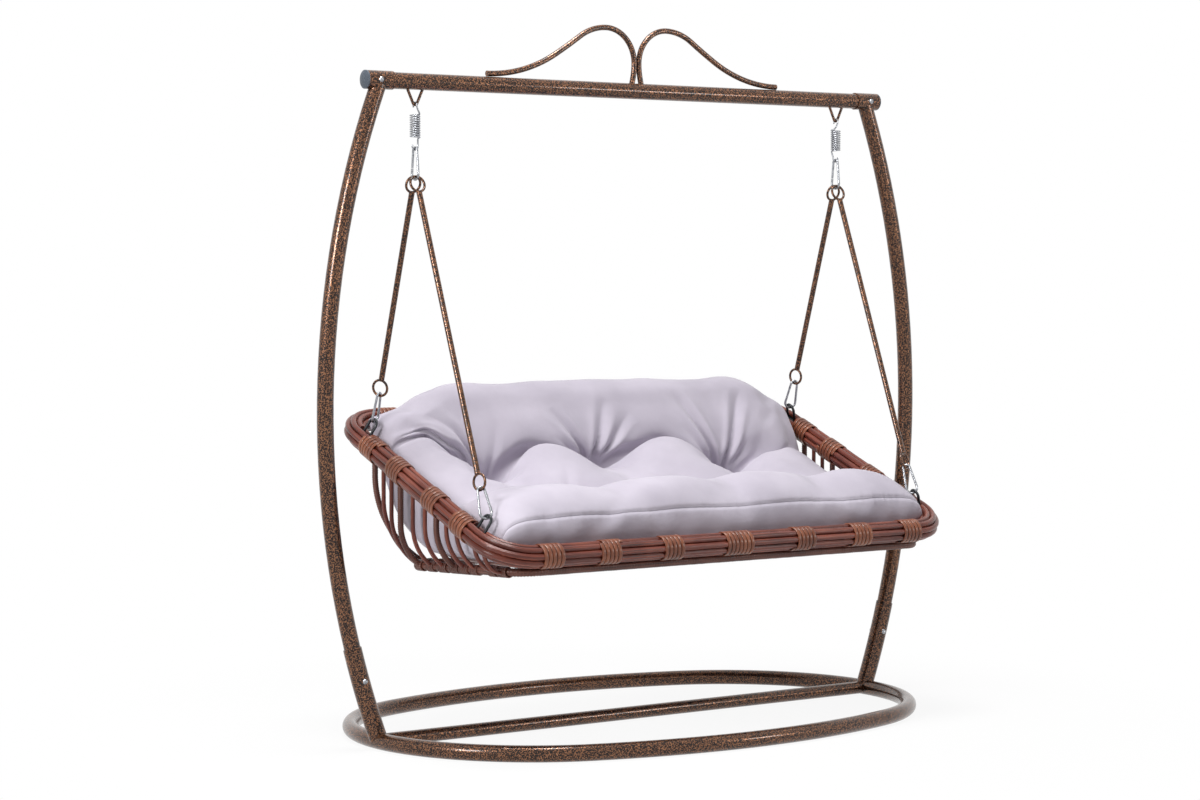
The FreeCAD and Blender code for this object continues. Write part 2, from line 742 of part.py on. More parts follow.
def rod_shape(length, turn):
    """A rod hanging down -Z from its upper ring, with a ring at each end; turn is the lower ring's."""
    ring = size("rod_ring_radius")
    wire = size("rod_ring_wire_radius")
    rod = Part.makeCylinder(size("rod_radius"), length - 4 * ring, V(0, 0, -2 * ring), DOWN)
    upper = Part.makeTorus(ring, wire, V(0, 0, -ring), ALONG_Y)
    facing = V(-math.sin(turn), -math.cos(turn), 0)
    lower = Part.makeTorus(ring, wire, V(0, 0, ring - length), facing)
    return rod.fuse([upper, lower]).removeSplitter()


def hang_line(side, run):
    """Start, end, rod length and hook seat of one right-hand hanging line."""
    start = ring_apex(side)
    end = eye_seat(run, start)
    wire = size("hook_wire_radius")
    above = size("rod_ring_wire_radius") + wire + size("hook_slack")
    below = size("seat_eye_rod_radius") + wire + size("hook_slack")
    hook = size("hook_length") - above - below
    return start, end, (end - start).Length - hook, below


def add_hook(name, shapes, place, left):
    """One snap hook and its gate as nodes; its pin is given back. A left one is mirrored."""
    made = []
    for piece, shape in zip(("hook", "gate", "pin"), shapes):
        part = placed(f"{name}_{piece}_form", shape, place)
        if left:
            part = mirrored(f"{name}_{piece}_mirrored", part)
        made.append(part)
    node(made[0], name + "_hook")
    node(made[1], name + "_gate")
    report_pivot(name, place, left)
    return made[2]


def make_hanging_gear():
    """The springs, snap hooks and rods that carry the seat."""
    stations = spring_stations()
    wire = size("spring_wire_radius")
    print("spring least gap", round(least_gap(stations, wire), 3))
    section = Part.Wire(Part.makeCircle(wire, stations[0][0], stations[0][1]))
    coil = Part.Wire(biarcs(stations)).makePipeShell([section], True, False)
    pair("spring", placed("spring_form", coil, FreeCAD.Placement(spring_top(), FreeCAD.Rotation())))
    shapes = hook_shapes()
    bow = upper_hook_top() - V(0, 0, size("hook_length") - size("hook_bottom_radius"))
    hang = FreeCAD.Placement(bow, FreeCAD.Rotation())
    pins = [add_hook("right_upper", shapes, hang, False), add_hook("left_upper", shapes, hang, True)]
    node(compound("upper_gate_pins", pins), "upper_gate_pins")

    pins = []
    for end, direction in (("front", -1), ("back", 1)):
        start, seat, length, below = hang_line(direction, size(end + "_eye_run"))
        down = unit(seat - start)
        hang = FreeCAD.Rotation(DOWN, down)
        bow = seat + down * (below - size("hook_bottom_radius"))
        for side in ("right", "left"):
            name = f"{side}_{end}"
            rod = rod_shape(length, math.radians(size(name + "_ring_turn")))
            rod = placed(name + "_line", rod, FreeCAD.Placement(start, hang))
            if side == "left":
                rod = mirrored(name + "_rod", rod)
            node(rod, name + "_rod")
            twist = FreeCAD.Rotation(DOWN, size(name + "_hook_twist"))
            place = FreeCAD.Placement(bow, hang.multiply(twist))
            pins.append(add_hook(name, shapes, place, side == "left"))
    node(compound("lower_gate_pins", pins), "lower_gate_pins")


def report_pivot(name, place, left):
    """Print a gate's pivot point, and the axis about which it opens inward, for the record."""
    point = place.multVec(pivot_point())
    axis = place.Rotation.multVec(-ALONG_X)
    if left:
        point.x = -point.x
        axis = V(axis.x, -axis.y, -axis.z)
    print(name, "gate", [round(value, 3) for value in point], [round(value, 5) for value in axis])


# Basket

def rim_point(across, run, lift=0.0):
    """A point by its place across the rim, its run back from the front rail and its lift off the plane."""
    return RIM_FRONT + ALONG_X * across + RIM_BACK * run + RIM_UP * lift


def half_loop(offset, lift, start):
    """Right half of the rim's line, moved outward by offset and up by lift."""
    wide = size("rim_half_width") + offset
    deep = size("rim_depth") + offset
    corner = size("rim_corner_radius") + offset
    points = [rim_point(start, -offset, lift), rim_point(wide, -offset, lift),
              rim_point(wide, deep, lift), rim_point(start, deep, lift)]
    return rounded(points, corner)


def full_loop(wide, near, far, corner):
    """A closed rounded rectangle between a near and a far middle point."""
    span = ALONG_X * wide
    points = [near, near + span, far + span, far - span, near - span, near]
    return rounded(points, corner)


def make_rim():
    """The rim: a steel core, the canes round it and the eyes that stand on it."""
    near = rim_point(0, 0)
    far = rim_point(0, size("rim_depth"))
    loop = full_loop(size("rim_half_width"), near, far, size("rim_corner_radius"))
    core = sweep("core", loop, "core_radius")
    node(cut("rim_core", core, sweep("core_bore", loop, "core_radius - core_wall")), "rim_core")

    canes = []
    count = int(size("cane_count"))
    circle = size("cane_circle_radius")
    for index in range(count):
        turn = 2 * math.pi * (index + 0.5) / count
        edges = half_loop(circle * math.cos(turn), circle * math.sin(turn), size("cane_joint_gap") / 2)
        cane = sweep(f"cane{index}", edges, "cane_radius")
        if abs(turn - math.pi / 2 - EYE_LEAN) < EYE_LEAN:
            cane = cut(f"cane{index}", cane, *eye_notches())
        canes.append(cane)
    right = node(compound("right_rim_canes", canes), "right_rim_canes")
    node(mirrored("left_rim_canes", right), "left_rim_canes")

    for end in ("front", "back"):
        eye = sweep(end + "_eye", eye_edges(size(end + "_eye_run")), "seat_eye_rod_radius")
        node(compound(end + "_seat_eyes", [eye, mirrored(end + "_eye_left", eye)]), end + "_seat_eyes")


def eye_notches():
    """Boxes that break the upper inner cane where the seat eyes pass."""
    notches = []
    for end in ("front", "back"):
        box = bind(doc.addObject("Part::Box", end + "_notch"),
                   {"Length": "4 * cane_radius", "Width": "2 * eye_notch_half_length",
                    "Height": "4 * cane_radius"})
        corner = rim_point(size("rim_half_width") - 4 * size("cane_radius"),
                           size(end + "_eye_run") - size("eye_notch_half_length"))
        box.Placement = FreeCAD.Placement(corner, FreeCAD.Rotation(ALONG_X, size("rim_tilt")))
        notches.append(box)
    return notches


def eye_edges(run):
    """A U of rod that stands on the rim's core: two legs and a half-round top."""
    span = RIM_BACK * size("seat_eye_half_span")
    rail = rim_point(size("rim_half_width"), run)
    foot = rail + EYE_OUT * (size("core_radius") + GAP)
    top = rail + EYE_OUT * size("seat_eye_reach")
    spring = top - EYE_OUT * size("seat_eye_half_span")
    return [line(foot - span, spring - span),
            Part.Arc(spring - span, top, spring + span).toShape(),
            line(spring + span, foot + span)]


BINDING_BORE = "cane_circle_radius + cane_radius + binding_gap"
BINDING_OUTER = BINDING_BORE + " + binding_wall"


def binding(name, centre, axis, length):
    """A binding as a plain collar round the rim, whose length is a cell of the sheet."""
    base = centre - axis * (size(length) / 2)
    collar = cylinder(name + "_outer", BINDING_OUTER, length, base, axis)
    return cut(name, collar, cylinder(name + "_bore", BINDING_BORE, length, base, axis))


def make_bindings():
    """A wide collar at the middle of the front and back rails, and narrow ones along all four."""
    reaches = [share * size("corner_binding_reach") for share in RAIL_BINDING_SHARES]
    for end, run in (("front", 0.0), ("back", size("rim_depth"))):
        collars = [binding(end + "_binding0", rim_point(0, run), ALONG_X, "wide_binding_length")]
        for count, reach in enumerate(reaches, start=1):
            collar = binding(f"{end}_binding{count}", rim_point(reach, run), ALONG_X, "binding_length")
            collars += [collar, mirrored(f"{end}_binding{count}_left", collar)]
        node(compound(end + "_bindings", collars), end + "_bindings")
    collars = []
    for count, share in enumerate(SIDE_BINDING_SHARES):
        centre = rim_point(size("rim_half_width"), share * size("rim_depth"))
        collar = binding(f"side_binding{count}", centre, RIM_BACK, "binding_length")
        collars += [collar, mirrored(f"side_binding{count}_left", collar)]
    node(compound("side_bindings", collars), "side_bindings")


def hoop_ends():
    """The middles of the hoop's front and back."""
    near = V(0, -size("hoop_front_reach"), size("hoop_front_height"))
    far = V(0, size("hoop_back_reach"), size("hoop_back_height"))
    return near, far


def hoop_loop():
    """The hoop's centre line."""
    near, far = hoop_ends()
    return full_loop(size("hoop_half_width"), near, far, size("hoop_corner_radius"))


def hoop_seat(rail, share):
    """Where a rib from a point of the right rail meets the hoop's line: beside it, or on the rear bend."""
    near, far = hoop_ends()
    side = ALONG_X * size("hoop_half_width")
    first, last = REAR_RIB_SHARES
    if share < first:
        return near + side + (far - near) * ((rail.y - near.y) / (far.y - near.y))
    low, high = HOOP_BEND_SHARES
    turn = math.pi / 2 * (low + (high - low) * (share - first) / (last - first))
    back = unit(far - near)
    spread = ALONG_X * (math.cos(turn) - 1) + back * (math.sin(turn) - 1)
    return far + side + spread * size("hoop_corner_radius")


def rib_edges(share):
    """A side rib: straight down from the rim, then in one arc to the hoop."""
    rail = rim_point(size("rim_half_width"), share * size("rim_depth"))
    seat = hoop_seat(rail, share)
    top = rail + DOWN * size("cane_circle_radius")
    reach = math.hypot(rail.x - seat.x, rail.y - seat.y)
    drop = size("rib_curve_drop") * reach / size("hoop_side_inset")
    if drop > top.z - seat.z:
        return [arc_to(top, DOWN, seat)]
    shoulder = V(top.x, top.y, seat.z + drop)
    return [line(top, shoulder), arc_to(shoulder, DOWN, seat)]


def rail_tools():
    """Bars that stand for the hoop, the side rail and its bindings, for coping the ribs."""
    start = rim_point(size("rim_half_width"), 0)
    bundle = "cane_circle_radius + cane_radius + seat_gap"
    tools = [cylinder("rail_tool", bundle, "rim_depth", start, RIM_BACK)]
    tools.append(sweep("hoop_tool", hoop_loop(), "hoop_radius + seat_gap"))
    half = size("binding_length") / 2 + size("thick_rib_radius")
    for count, share in enumerate(SIDE_BINDING_SHARES):
        base = rim_point(size("rim_half_width"), share * size("rim_depth") - half)
        tools.append(cylinder(f"bound_tool{count}", BINDING_OUTER + " + 2 * seat_gap",
                              "binding_length + 2 * thick_rib_radius", base, RIM_BACK))
    return tools


def make_ribs():
    """The ribs of both sides, coped to the rails, bindings and hoop."""
    tools = rail_tools()
    for kind, shares in (("thick", THICK_RIB_SHARES), ("thin", THIN_RIB_SHARES)):
        ribs = []
        for count, share in enumerate(shares):
            name = f"{kind}_rib{count}"
            rib = cut(name, sweep(name, rib_edges(share), kind + "_rib_radius"), *tools)
            ribs += [rib, mirrored(name + "_left", rib)]
        node(compound(kind + "_side_ribs", ribs), kind + "_side_ribs")


def seat_cane_points(across):
    """Line of a seat cane: from the hoop's front, along the floor, and up to the back rail."""
    lift = size("hoop_radius") + size("thick_rib_radius") + GAP
    start = V(across, GAP + size("hoop_radius") - size("hoop_front_reach"), size("hoop_front_height"))
    heel = V(across, size("hoop_back_reach"), size("hoop_back_height") + lift)
    rail = rim_point(across, size("rim_depth"))
    bundle = size("cane_circle_radius") + size("cane_radius") + GAP
    bound = bundle + size("binding_gap") + size("binding_wall")
    return [start, heel, rail - unit(rail - heel) * bound]


def make_basket_floor():
    """The bottom hoop, the canes of floor and back, and the canes across them."""
    node(sweep("bottom_hoop", hoop_loop(), "hoop_radius"), "bottom_hoop")

    canes = {"thick": [], "thin": []}
    each_side = int(size("seat_canes_each_side"))
    for count in range(-each_side, each_side + 1):
        kind = "thin" if count % THICK_CANE_STEP else "thick"
        edges = rounded(seat_cane_points(count * size("seat_cane_spacing")), size("seat_cane_bend"))
        name = f"seat_cane{count + each_side}"
        canes[kind].append(sweep(name, edges, kind + "_rib_radius"))
    for kind, parts in canes.items():
        node(compound(kind + "_seat_canes", parts), kind + "_seat_canes")

    start, heel, top = seat_cane_points(0)
    under = size("thick_rib_radius") + size("cross_cane_radius") + GAP
    runs = (("back", heel, top, BACK_CROSS_SHARES), ("floor", start, heel, FLOOR_CROSS_SHARES))
    for name, first, last, shares in runs:
        along = unit(last - first)
        below = V(0, along.z, -along.y)
        canes = []
        for count, share in enumerate(shares):
            place = first + (last - first) * share + below * under
            base = place - ALONG_X * size("cross_cane_half_length")
            canes.append(cylinder(f"{name}_cross{count}", "cross_cane_radius", "2 * cross_cane_half_length",
                                  base, ALONG_X))
        node(compound(name + "_cross_canes", canes), name + "_cross_canes")


# Cushion

def cushion_corner(name, rail, inward):
    """A corner of the cushion's section by its named inset from a rail and its rise above it."""
    return rail + V(0, inward * size(f"cushion_{name}_inset"), size(f"cushion_{name}_rise"))


def seat_corner(name):
    """A corner placed from the front rail."""
    return cushion_corner(name, rim_point(0, 0), 1)


def back_corner(name):
    """A corner placed from the back rail."""
    return cushion_corner(name, rim_point(0, size("rim_depth")), -1)


def cushion_corners(risen):
    """Corners of a section whose back keeps a share of its rise, from the toe over the top to the heel."""
    start, heel, top = seat_cane_points(0)
    off = size("cushion_floor_gap") + size("thick_rib_radius")
    run = size("cushion_heel_run")
    recline = unit(top - heel)
    inward = V(0, -recline.z, recline.y)
    toe = V(0, rim_point(0, 0).y + size("cushion_toe_inset"), start.z + off)
    front = [seat_corner(name) for name in ("seam", "row")]
    fold = back_corner("fold")
    upper = [back_corner(name) for name in ("brow", "top", "nape", "rear")]
    upper = [corner - recline * ((corner - fold).dot(recline) * (1 - risen)) for corner in upper]
    low_back = heel + recline * run + inward * off
    low_floor = V(0, heel.y - run, max(start.z, heel.z) + off)
    return [toe] + front + [fold] + upper + [low_back, low_floor]


def cushion_section(across, kept, risen):
    """One closed section; each corner is drawn towards the middle between it and its partner."""
    corners = cushion_corners(risen)
    partners = (1, 0, 9, 8, 7, 6, 5, 4, 3, 2)
    drawn = []
    for corner, partner in zip(corners, partners):
        middle = (corner + corners[partner]) / 2
        point = middle + (corner - middle) * kept
        drawn.append(V(across, point.y, point.z))
    bulges = [size(name + "_bulge") for name in ("front", "seat", "lap", "back", "brow", "top")]
    edges = []
    for count, start in enumerate(drawn):
        end = drawn[(count + 1) % len(drawn)]
        if count < len(bulges):
            along = unit(end - start)
            outward = V(0, -along.z, along.y)
            edges.append(Part.Arc(start, (start + end) / 2 + outward * bulges[count] * kept, end).toShape())
        else:
            edges.append(line(start, end))
    return Part.Wire(edges)


def make_cushion():
    """A loft through drawn-in sections, with a sewn dimple at each tuft."""
    half = size("cushion_half_width")
    sections = [cushion_section(share * half, *shares) for share, *shares in CUSHION_SECTION_SHARES]
    left = [cushion_section(-share * half, *shares) for share, *shares in CUSHION_SECTION_SHARES[1:]]
    loft = placed("cushion_loft", Part.makeLoft(left[::-1] + sections, True, False), FreeCAD.Placement())
    start, heel, top = seat_cane_points(0)
    recline = unit(top - heel)
    rows = (("front", seat_corner("row"), V(0, 0, 1)),
            ("back", back_corner("fold"), V(0, -recline.z, recline.y)))
    dimples = []
    for name, place, outward in rows:
        for count in (-1, 0, 1):
            ball = bind(doc.addObject("Part::Sphere", f"{name}_tuft{count + 1}"), {"Radius": "tuft_radius"})
            lift = outward * (size("tuft_radius") - size("tuft_depth"))
            ball.Placement = FreeCAD.Placement(
                place + lift + ALONG_X * (count * size(name + "_tuft_spread")), FreeCAD.Rotation())
            dimples.append(ball)
    node(cut("cushion", loft, *dimples), "cushion")


make_stand()
make_hanging_gear()
make_rim()
make_bindings()
make_ribs()
make_basket_floor()
make_cushion()
doc.recompute()

for obj in doc.Objects:
    if "Invalid" in obj.State or "Error" in obj.State:
        raise RuntimeError(f"{obj.Name} failed")
for obj in NODES:
    if obj.Shape.isNull() or not obj.Shape.isValid():
        raise RuntimeError(f"{obj.Label} has no valid shape")
os.makedirs("parts", exist_ok=True)
for obj in NODES:
    obj.Shape.exportStep(f"parts/{obj.Label}.step")
print(len(NODES), "parts written")
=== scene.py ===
"""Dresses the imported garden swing: finishes for the steel stand, wound cane basket and tufted cushion."""

import json
import logging
import math
from dataclasses import dataclass, field
from enum import Enum
from typing import Sequence

import bpy
import numpy as np
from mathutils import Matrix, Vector

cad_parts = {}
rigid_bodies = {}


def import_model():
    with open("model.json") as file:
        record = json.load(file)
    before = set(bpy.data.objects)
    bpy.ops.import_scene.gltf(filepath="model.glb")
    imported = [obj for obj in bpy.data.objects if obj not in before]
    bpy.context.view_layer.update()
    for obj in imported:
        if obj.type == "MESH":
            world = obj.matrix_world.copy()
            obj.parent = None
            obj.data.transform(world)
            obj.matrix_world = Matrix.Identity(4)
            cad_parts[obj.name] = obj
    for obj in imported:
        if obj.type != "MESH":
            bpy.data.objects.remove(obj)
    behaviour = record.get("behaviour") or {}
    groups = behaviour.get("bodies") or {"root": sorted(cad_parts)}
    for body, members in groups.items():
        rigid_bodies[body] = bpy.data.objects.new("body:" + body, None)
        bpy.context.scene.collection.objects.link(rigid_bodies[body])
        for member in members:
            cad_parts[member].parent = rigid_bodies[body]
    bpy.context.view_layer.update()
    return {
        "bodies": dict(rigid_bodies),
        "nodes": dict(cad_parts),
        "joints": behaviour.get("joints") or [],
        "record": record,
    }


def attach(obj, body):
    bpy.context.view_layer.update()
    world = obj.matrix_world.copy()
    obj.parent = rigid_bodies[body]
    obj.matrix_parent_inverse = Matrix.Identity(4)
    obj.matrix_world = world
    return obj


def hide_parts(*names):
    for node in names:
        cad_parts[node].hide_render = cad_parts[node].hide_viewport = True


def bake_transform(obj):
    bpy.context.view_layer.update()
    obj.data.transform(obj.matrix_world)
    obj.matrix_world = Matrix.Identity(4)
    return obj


Socket = bpy.types.NodeSocket
NodeTree = bpy.types.NodeTree
Material = bpy.types.Material
Piece = bpy.types.Object
Line = Sequence[Vector]
Grid = np.ndarray

LOG = logging.getLogger("garden_swing")
SEAT = "seat"
STRAND_GRAIN = 38.0
STRIP_COLUMNS = 40.0
STRIP_ROWS = 9
STRIP_STRAY = 0.22
STRIP_CROWN = 5.0


# Finishes


class Graph:
    """A node tree under construction."""

    def __init__(self, tree: NodeTree) -> None:
        """Take up a tree."""
        self.tree = tree

    def feed(self, socket: Socket, value: object) -> None:
        """Link an output to a socket, or set the socket's own value."""
        if isinstance(value, Socket):
            self.tree.links.new(value, socket)
        else:
            socket.default_value = value

    def add(self, kind: str, settings: dict | None = None, **inputs: object) -> bpy.types.Node:
        """Add a node.

        Args:
            kind: Blender's name for the node type.
            settings: properties of the node.
            inputs: values or outputs of other nodes, keyed by the socket's name with underscores, or by its
                place as n0, n1 and so on.

        Returns:
            The new node.
        """
        node = self.tree.nodes.new(kind)
        for key, value in (settings or {}).items():
            setattr(node, key, value)
        for key, value in inputs.items():
            placed = key[0] == "n" and key[1:].isdigit()
            self.feed(node.inputs[int(key[1:]) if placed else key.replace("_", " ")], value)
        return node

    def math(self, operation: str, first: object, second: object = 0.0) -> Socket:
        """Work out one sum of two numbers, outputs or fields."""
        return self.add("ShaderNodeMath", {"operation": operation}, n0=first, n1=second).outputs[0]

    def times(self, first: object, second: object) -> Socket:
        """Multiply two numbers, outputs or fields."""
        return self.math("MULTIPLY", first, second)

    def plus(self, first: object, second: object) -> Socket:
        """Add two numbers, outputs or fields."""
        return self.math("ADD", first, second)

    def minus(self, first: object, second: object) -> Socket:
        """Take one number, output or field from another."""
        return self.math("SUBTRACT", first, second)


class Shader(Graph):
    """A node material under construction, led by its principled shader."""

    def __init__(self, name: str) -> None:
        """Start a material with only a principled shader and an output."""
        self.material = bpy.data.materials.new(name)
        self.material.use_nodes = True
        super().__init__(self.material.node_tree)
        self.surface = self.tree.nodes["Principled BSDF"]

    def objects(self) -> Socket:
        """Give the object's own coordinates."""
        return self.add("ShaderNodeTexCoord").outputs["Object"]

    def attribute(self, name: str) -> Socket:
        """Give a vector that is stored on the mesh."""
        return self.add("ShaderNodeAttribute", {"attribute_name": name}).outputs["Vector"]

    def stretched(self, coordinates: Socket, scale: Sequence[float]) -> Socket:
        """Scale coordinates by a different amount along each axis."""
        return self.add("ShaderNodeMapping", Vector=coordinates, Scale=tuple(scale)).outputs[0]

    def noise(self, coordinates: Socket, scale: float, detail: float = 2.0) -> Socket:
        """Give a cloudy number from 0 to 1."""
        return self.add("ShaderNodeTexNoise", Vector=coordinates, Scale=scale, Detail=detail).outputs[0]

    def ramp(self, factor: Socket, stops: Sequence[tuple]) -> Socket:
        """Turn a number into a colour.

        Args:
            factor: the number.
            stops: pairs of a place from 0 to 1 and a colour.

        Returns:
            The colour output.
        """
        node = self.add("ShaderNodeValToRGB", Fac=factor)
        band = node.color_ramp
        while len(band.elements) < len(stops):
            band.elements.new(0.5)
        for element, (place, colour) in zip(band.elements, stops):
            element.position = place
            element.color = (*colour, 1.0)
        return node.outputs["Color"]

    def span(self, factor: Socket, low: float, high: float) -> Socket:
        """Map a number from 0 to 1 onto another span."""
        return self.add("ShaderNodeMapRange", Value=factor, To_Min=low, To_Max=high).outputs[0]

    def dress(self, **sockets: object) -> None:
        """Set or link sockets of the principled shader."""
        for key, value in sockets.items():
            self.feed(self.surface.inputs[key.replace("_", " ")], value)

    def bump(self, height: Socket, strength: float, distance: float) -> None:
        """Raise the surface by a height."""
        normal = self.surface.inputs["Normal"]
        before = [link.from_socket for link in normal.links]
        node = self.add("ShaderNodeBump", Height=height, Strength=strength, Distance=distance)
        if before:
            self.tree.links.new(before[0], node.inputs["Normal"])
        self.tree.links.new(node.outputs[0], normal)


@dataclass(frozen=True)
class HammeredCoat:
    """Powder coat of dark brown with copper specks and a dimpled, glossy skin."""

    name: str = "hammered_copper"
    dark: tuple = (0.010, 0.0048, 0.0034)
    brown: tuple = (0.046, 0.0190, 0.0105)
    speck: tuple = (0.290, 0.128, 0.060)
    speck_scale: float = 300.0
    dimple_scale: float = 190.0

    def material(self) -> Material:
        """Build the material."""
        shader = Shader(self.name)
        place = shader.objects()
        specks = shader.noise(place, self.speck_scale, 1.5)
        colour = shader.ramp(specks, ((0.44, self.dark), (0.52, self.brown), (0.60, self.speck),
                                      (0.70, self.speck)))
        dimples = shader.noise(place, self.dimple_scale, 2.0)
        shader.dress(Base_Color=colour, Metallic=0.55, Roughness=shader.span(specks, 0.36, 0.22),
                     Coat_Weight=0.45, Coat_Roughness=0.10, Coat_IOR=1.45, Specular_IOR_Level=0.3)
        shader.bump(dimples, 0.22, 0.0008)
        return shader.material


@dataclass(frozen=True)
class ZincPlate:
    """Bright plated steel with a faint cloudy haze."""

    name: str = "zinc_plate"
    bright: tuple = (0.44, 0.45, 0.47)
    dull: tuple = (0.24, 0.25, 0.27)
    haze_scale: float = 180.0
    grain_scale: float = 900.0

    def material(self) -> Material:
        """Build the material."""
        shader = Shader(self.name)
        cloud = shader.noise(shader.objects(), self.haze_scale, 4.0)
        colour = shader.ramp(cloud, ((0.35, self.dull), (0.65, self.bright)))
        shader.dress(Base_Color=colour, Metallic=1.0, Roughness=shader.span(cloud, 0.36, 0.2))
        shader.bump(shader.noise(shader.objects(), self.grain_scale, 2.0), 0.08, 0.0004)
        return shader.material


@dataclass(frozen=True)
class PaintedSteel:
    """Plain paint or moulded plastic with a fine orange-peel skin."""

    name: str
    colour: tuple
    worn: tuple
    roughness: float = 0.42
    metallic: float = 0.0
    cloud_scale: float = 130.0
    peel_scale: float = 700.0
    gloss_span: float = 0.08

    def material(self) -> Material:
        """Build the material."""
        shader = Shader(self.name)
        place = shader.objects()
        cloud = shader.noise(place, self.cloud_scale, 5.0)
        colour = shader.ramp(cloud, ((0.45, self.colour), (0.75, self.worn)))
        rough = shader.span(cloud, self.roughness + self.gloss_span, self.roughness - self.gloss_span)
        shader.dress(Base_Color=colour, Roughness=rough, Metallic=self.metallic)
        shader.bump(shader.noise(place, self.peel_scale, 2.0), 0.15, 0.0004)
        return shader.material


@dataclass(frozen=True)
class CaneSkin:
    """Extruded cane with fine ribs along it and streaks of darker and redder brown."""

    name: str
    dark: tuple
    middle: tuple
    light: tuple
    ribs: float = 15.0
    rib_height: float = 0.0004
    roughness: float = 0.27
    coat: float = 0.20
    streak_stretch: tuple = (5.0, 330.0, 330.0)
    patch_scale: float = 9.0
    patch_share: float = 0.45
    patch_shift: float = -0.2

    def material(self) -> Material:
        """Build the material from the strand's own lay: along, and round its section."""
        shader = Shader(self.name)
        lay = shader.attribute("lay")
        parts = shader.add("ShaderNodeSeparateXYZ", Vector=lay)
        streak = shader.noise(shader.stretched(lay, self.streak_stretch), 1.0, 3.0)
        patch = shader.noise(shader.objects(), self.patch_scale, 2.0)
        mixed = shader.math("MULTIPLY_ADD", patch, self.patch_share)
        mixed.node.inputs[2].default_value = self.patch_shift
        tone = shader.plus(streak, mixed)
        colour = shader.ramp(tone, ((0.28, self.dark), (0.52, self.middle), (0.78, self.light)))
        angle = shader.math("ARCTAN2", parts.outputs["Z"], parts.outputs["Y"])
        ribs = shader.math("SINE", shader.times(angle, self.ribs))
        rough = shader.span(streak, self.roughness + 0.1, self.roughness - 0.08)
        shader.dress(Base_Color=colour, Roughness=rough, Coat_Weight=self.coat, Coat_Roughness=0.16,
                     Specular_IOR_Level=0.30)
        shader.bump(ribs, 0.6, self.rib_height)
        shader.bump(streak, 0.3, 0.0006)
        return shader.material


@dataclass(frozen=True)
class StripSkin:
    """Glossy flat strip, streaked along its length."""

    name: str = "binding_strip"
    dark: tuple = (0.080, 0.022, 0.010)
    middle: tuple = (0.180, 0.052, 0.023)
    light: tuple = (0.290, 0.100, 0.046)
    streak_stretch: tuple = (9.0, 700.0, 1.0)
    patch_scale: float = 22.0

    def material(self) -> Material:
        """Build the material from the strip's own lay: along and across."""
        shader = Shader(self.name)
        lay = shader.attribute("lay")
        streak = shader.noise(shader.stretched(lay, self.streak_stretch), 1.0, 3.0)
        patch = shader.noise(shader.objects(), self.patch_scale, 2.0)
        tone = shader.times(shader.plus(streak, patch), 0.5)
        colour = shader.ramp(tone, ((0.32, self.dark), (0.50, self.middle), (0.68, self.light)))
        shader.dress(Base_Color=colour, Roughness=shader.span(streak, 0.34, 0.22), Coat_Weight=0.15,
                     Coat_Roughness=0.15, Specular_IOR_Level=0.35)
        shader.bump(streak, 0.5, 0.0006)
        return shader.material


@dataclass(frozen=True)
class CushionCloth:
    """Plain woven cloth, pale grey with a lilac cast, with painted shade in a thin darker line along its sewn
    seam.
    """

    name: str = "cushion_cloth"
    shade: tuple = (0.452, 0.416, 0.486)
    pale: tuple = (0.536, 0.496, 0.570)
    # The seam's colour is painted shade: a darker copy of the cloth laid along the seam's groove.
    painted_seam_shade: tuple = (0.20, 0.185, 0.215)
    weave: float = 1500.0
    cloud_scale: float = 7.0
    slack_scale: float = 55.0
    painted_seam_shade_edges: tuple = (0.0006, 0.0022)
    painted_seam_shade_share: float = 0.85

    def material(self) -> Material:
        """Build the material."""
        shader = Shader(self.name)
        place = shader.objects()
        cloud = shader.noise(place, self.cloud_scale, 4.0)
        cloth = shader.ramp(cloud, ((0.30, self.shade), (0.70, self.pale)))
        # Painted shade: the cloth darkens towards a thin line on the seam, standing for the shade in its
        # groove.
        run = shader.add("ShaderNodeAttribute", {"attribute_name": "run"}).outputs["Fac"]
        near, far = self.painted_seam_shade_edges
        seam = shader.add("ShaderNodeMapRange", Value=shader.math("ABSOLUTE", run), From_Min=near,
                          From_Max=far, To_Min=self.painted_seam_shade_share, To_Max=0.0).outputs[0]
        colour = shader.add("ShaderNodeMix", {"data_type": "RGBA"}, n0=seam, n6=cloth, n7=(*self.painted_seam_shade, 1.0))
        weave = [shader.add("ShaderNodeTexWave", {"bands_direction": axis}, Vector=place, Scale=self.weave,
                            Distortion=1.5).outputs["Fac"] for axis in ("X", "DIAGONAL")]
        shader.dress(Base_Color=colour.outputs[2], Roughness=0.88, Sheen_Weight=0.25, Sheen_Roughness=0.45,
                     Specular_IOR_Level=0.25)
        shader.bump(shader.plus(weave[0], weave[1]), 0.12, 0.0003)
        shader.bump(shader.noise(place, self.slack_scale, 3.0), 0.10, 0.004)
        return shader.material


class Finish(Enum):
    """The finishes of the swing."""

    COPPER = HammeredCoat()
    ZINC = ZincPlate()
    CAP = PaintedSteel("cap_plastic", (0.055, 0.070, 0.092), (0.085, 0.10, 0.125), 0.45)
    DARK = PaintedSteel("dark_steel", (0.020, 0.022, 0.025), (0.045, 0.047, 0.052), 0.34, 0.5)
    CANE = CaneSkin("rim_cane", (0.042, 0.0080, 0.0050), (0.142, 0.0300, 0.0180), (0.290, 0.0820, 0.0480))
    WRAPPED = CaneSkin("wrapped_cane", (0.034, 0.0100, 0.0070), (0.092, 0.029, 0.019), (0.165, 0.058, 0.038),
                       ribs=0.0, roughness=0.46)
    STRIP = StripSkin()
    CLOTH = CushionCloth()


class Wardrobe:
    """Materials made once for each finish."""

    def __init__(self) -> None:
        """Start with no materials."""
        self.made: dict[Finish, Material] = {}

    def get(self, finish: Finish) -> Material:
        """Give the material of a finish."""
        if finish not in self.made:
            self.made[finish] = finish.value.material()
        return self.made[finish]


# Meshes and trees


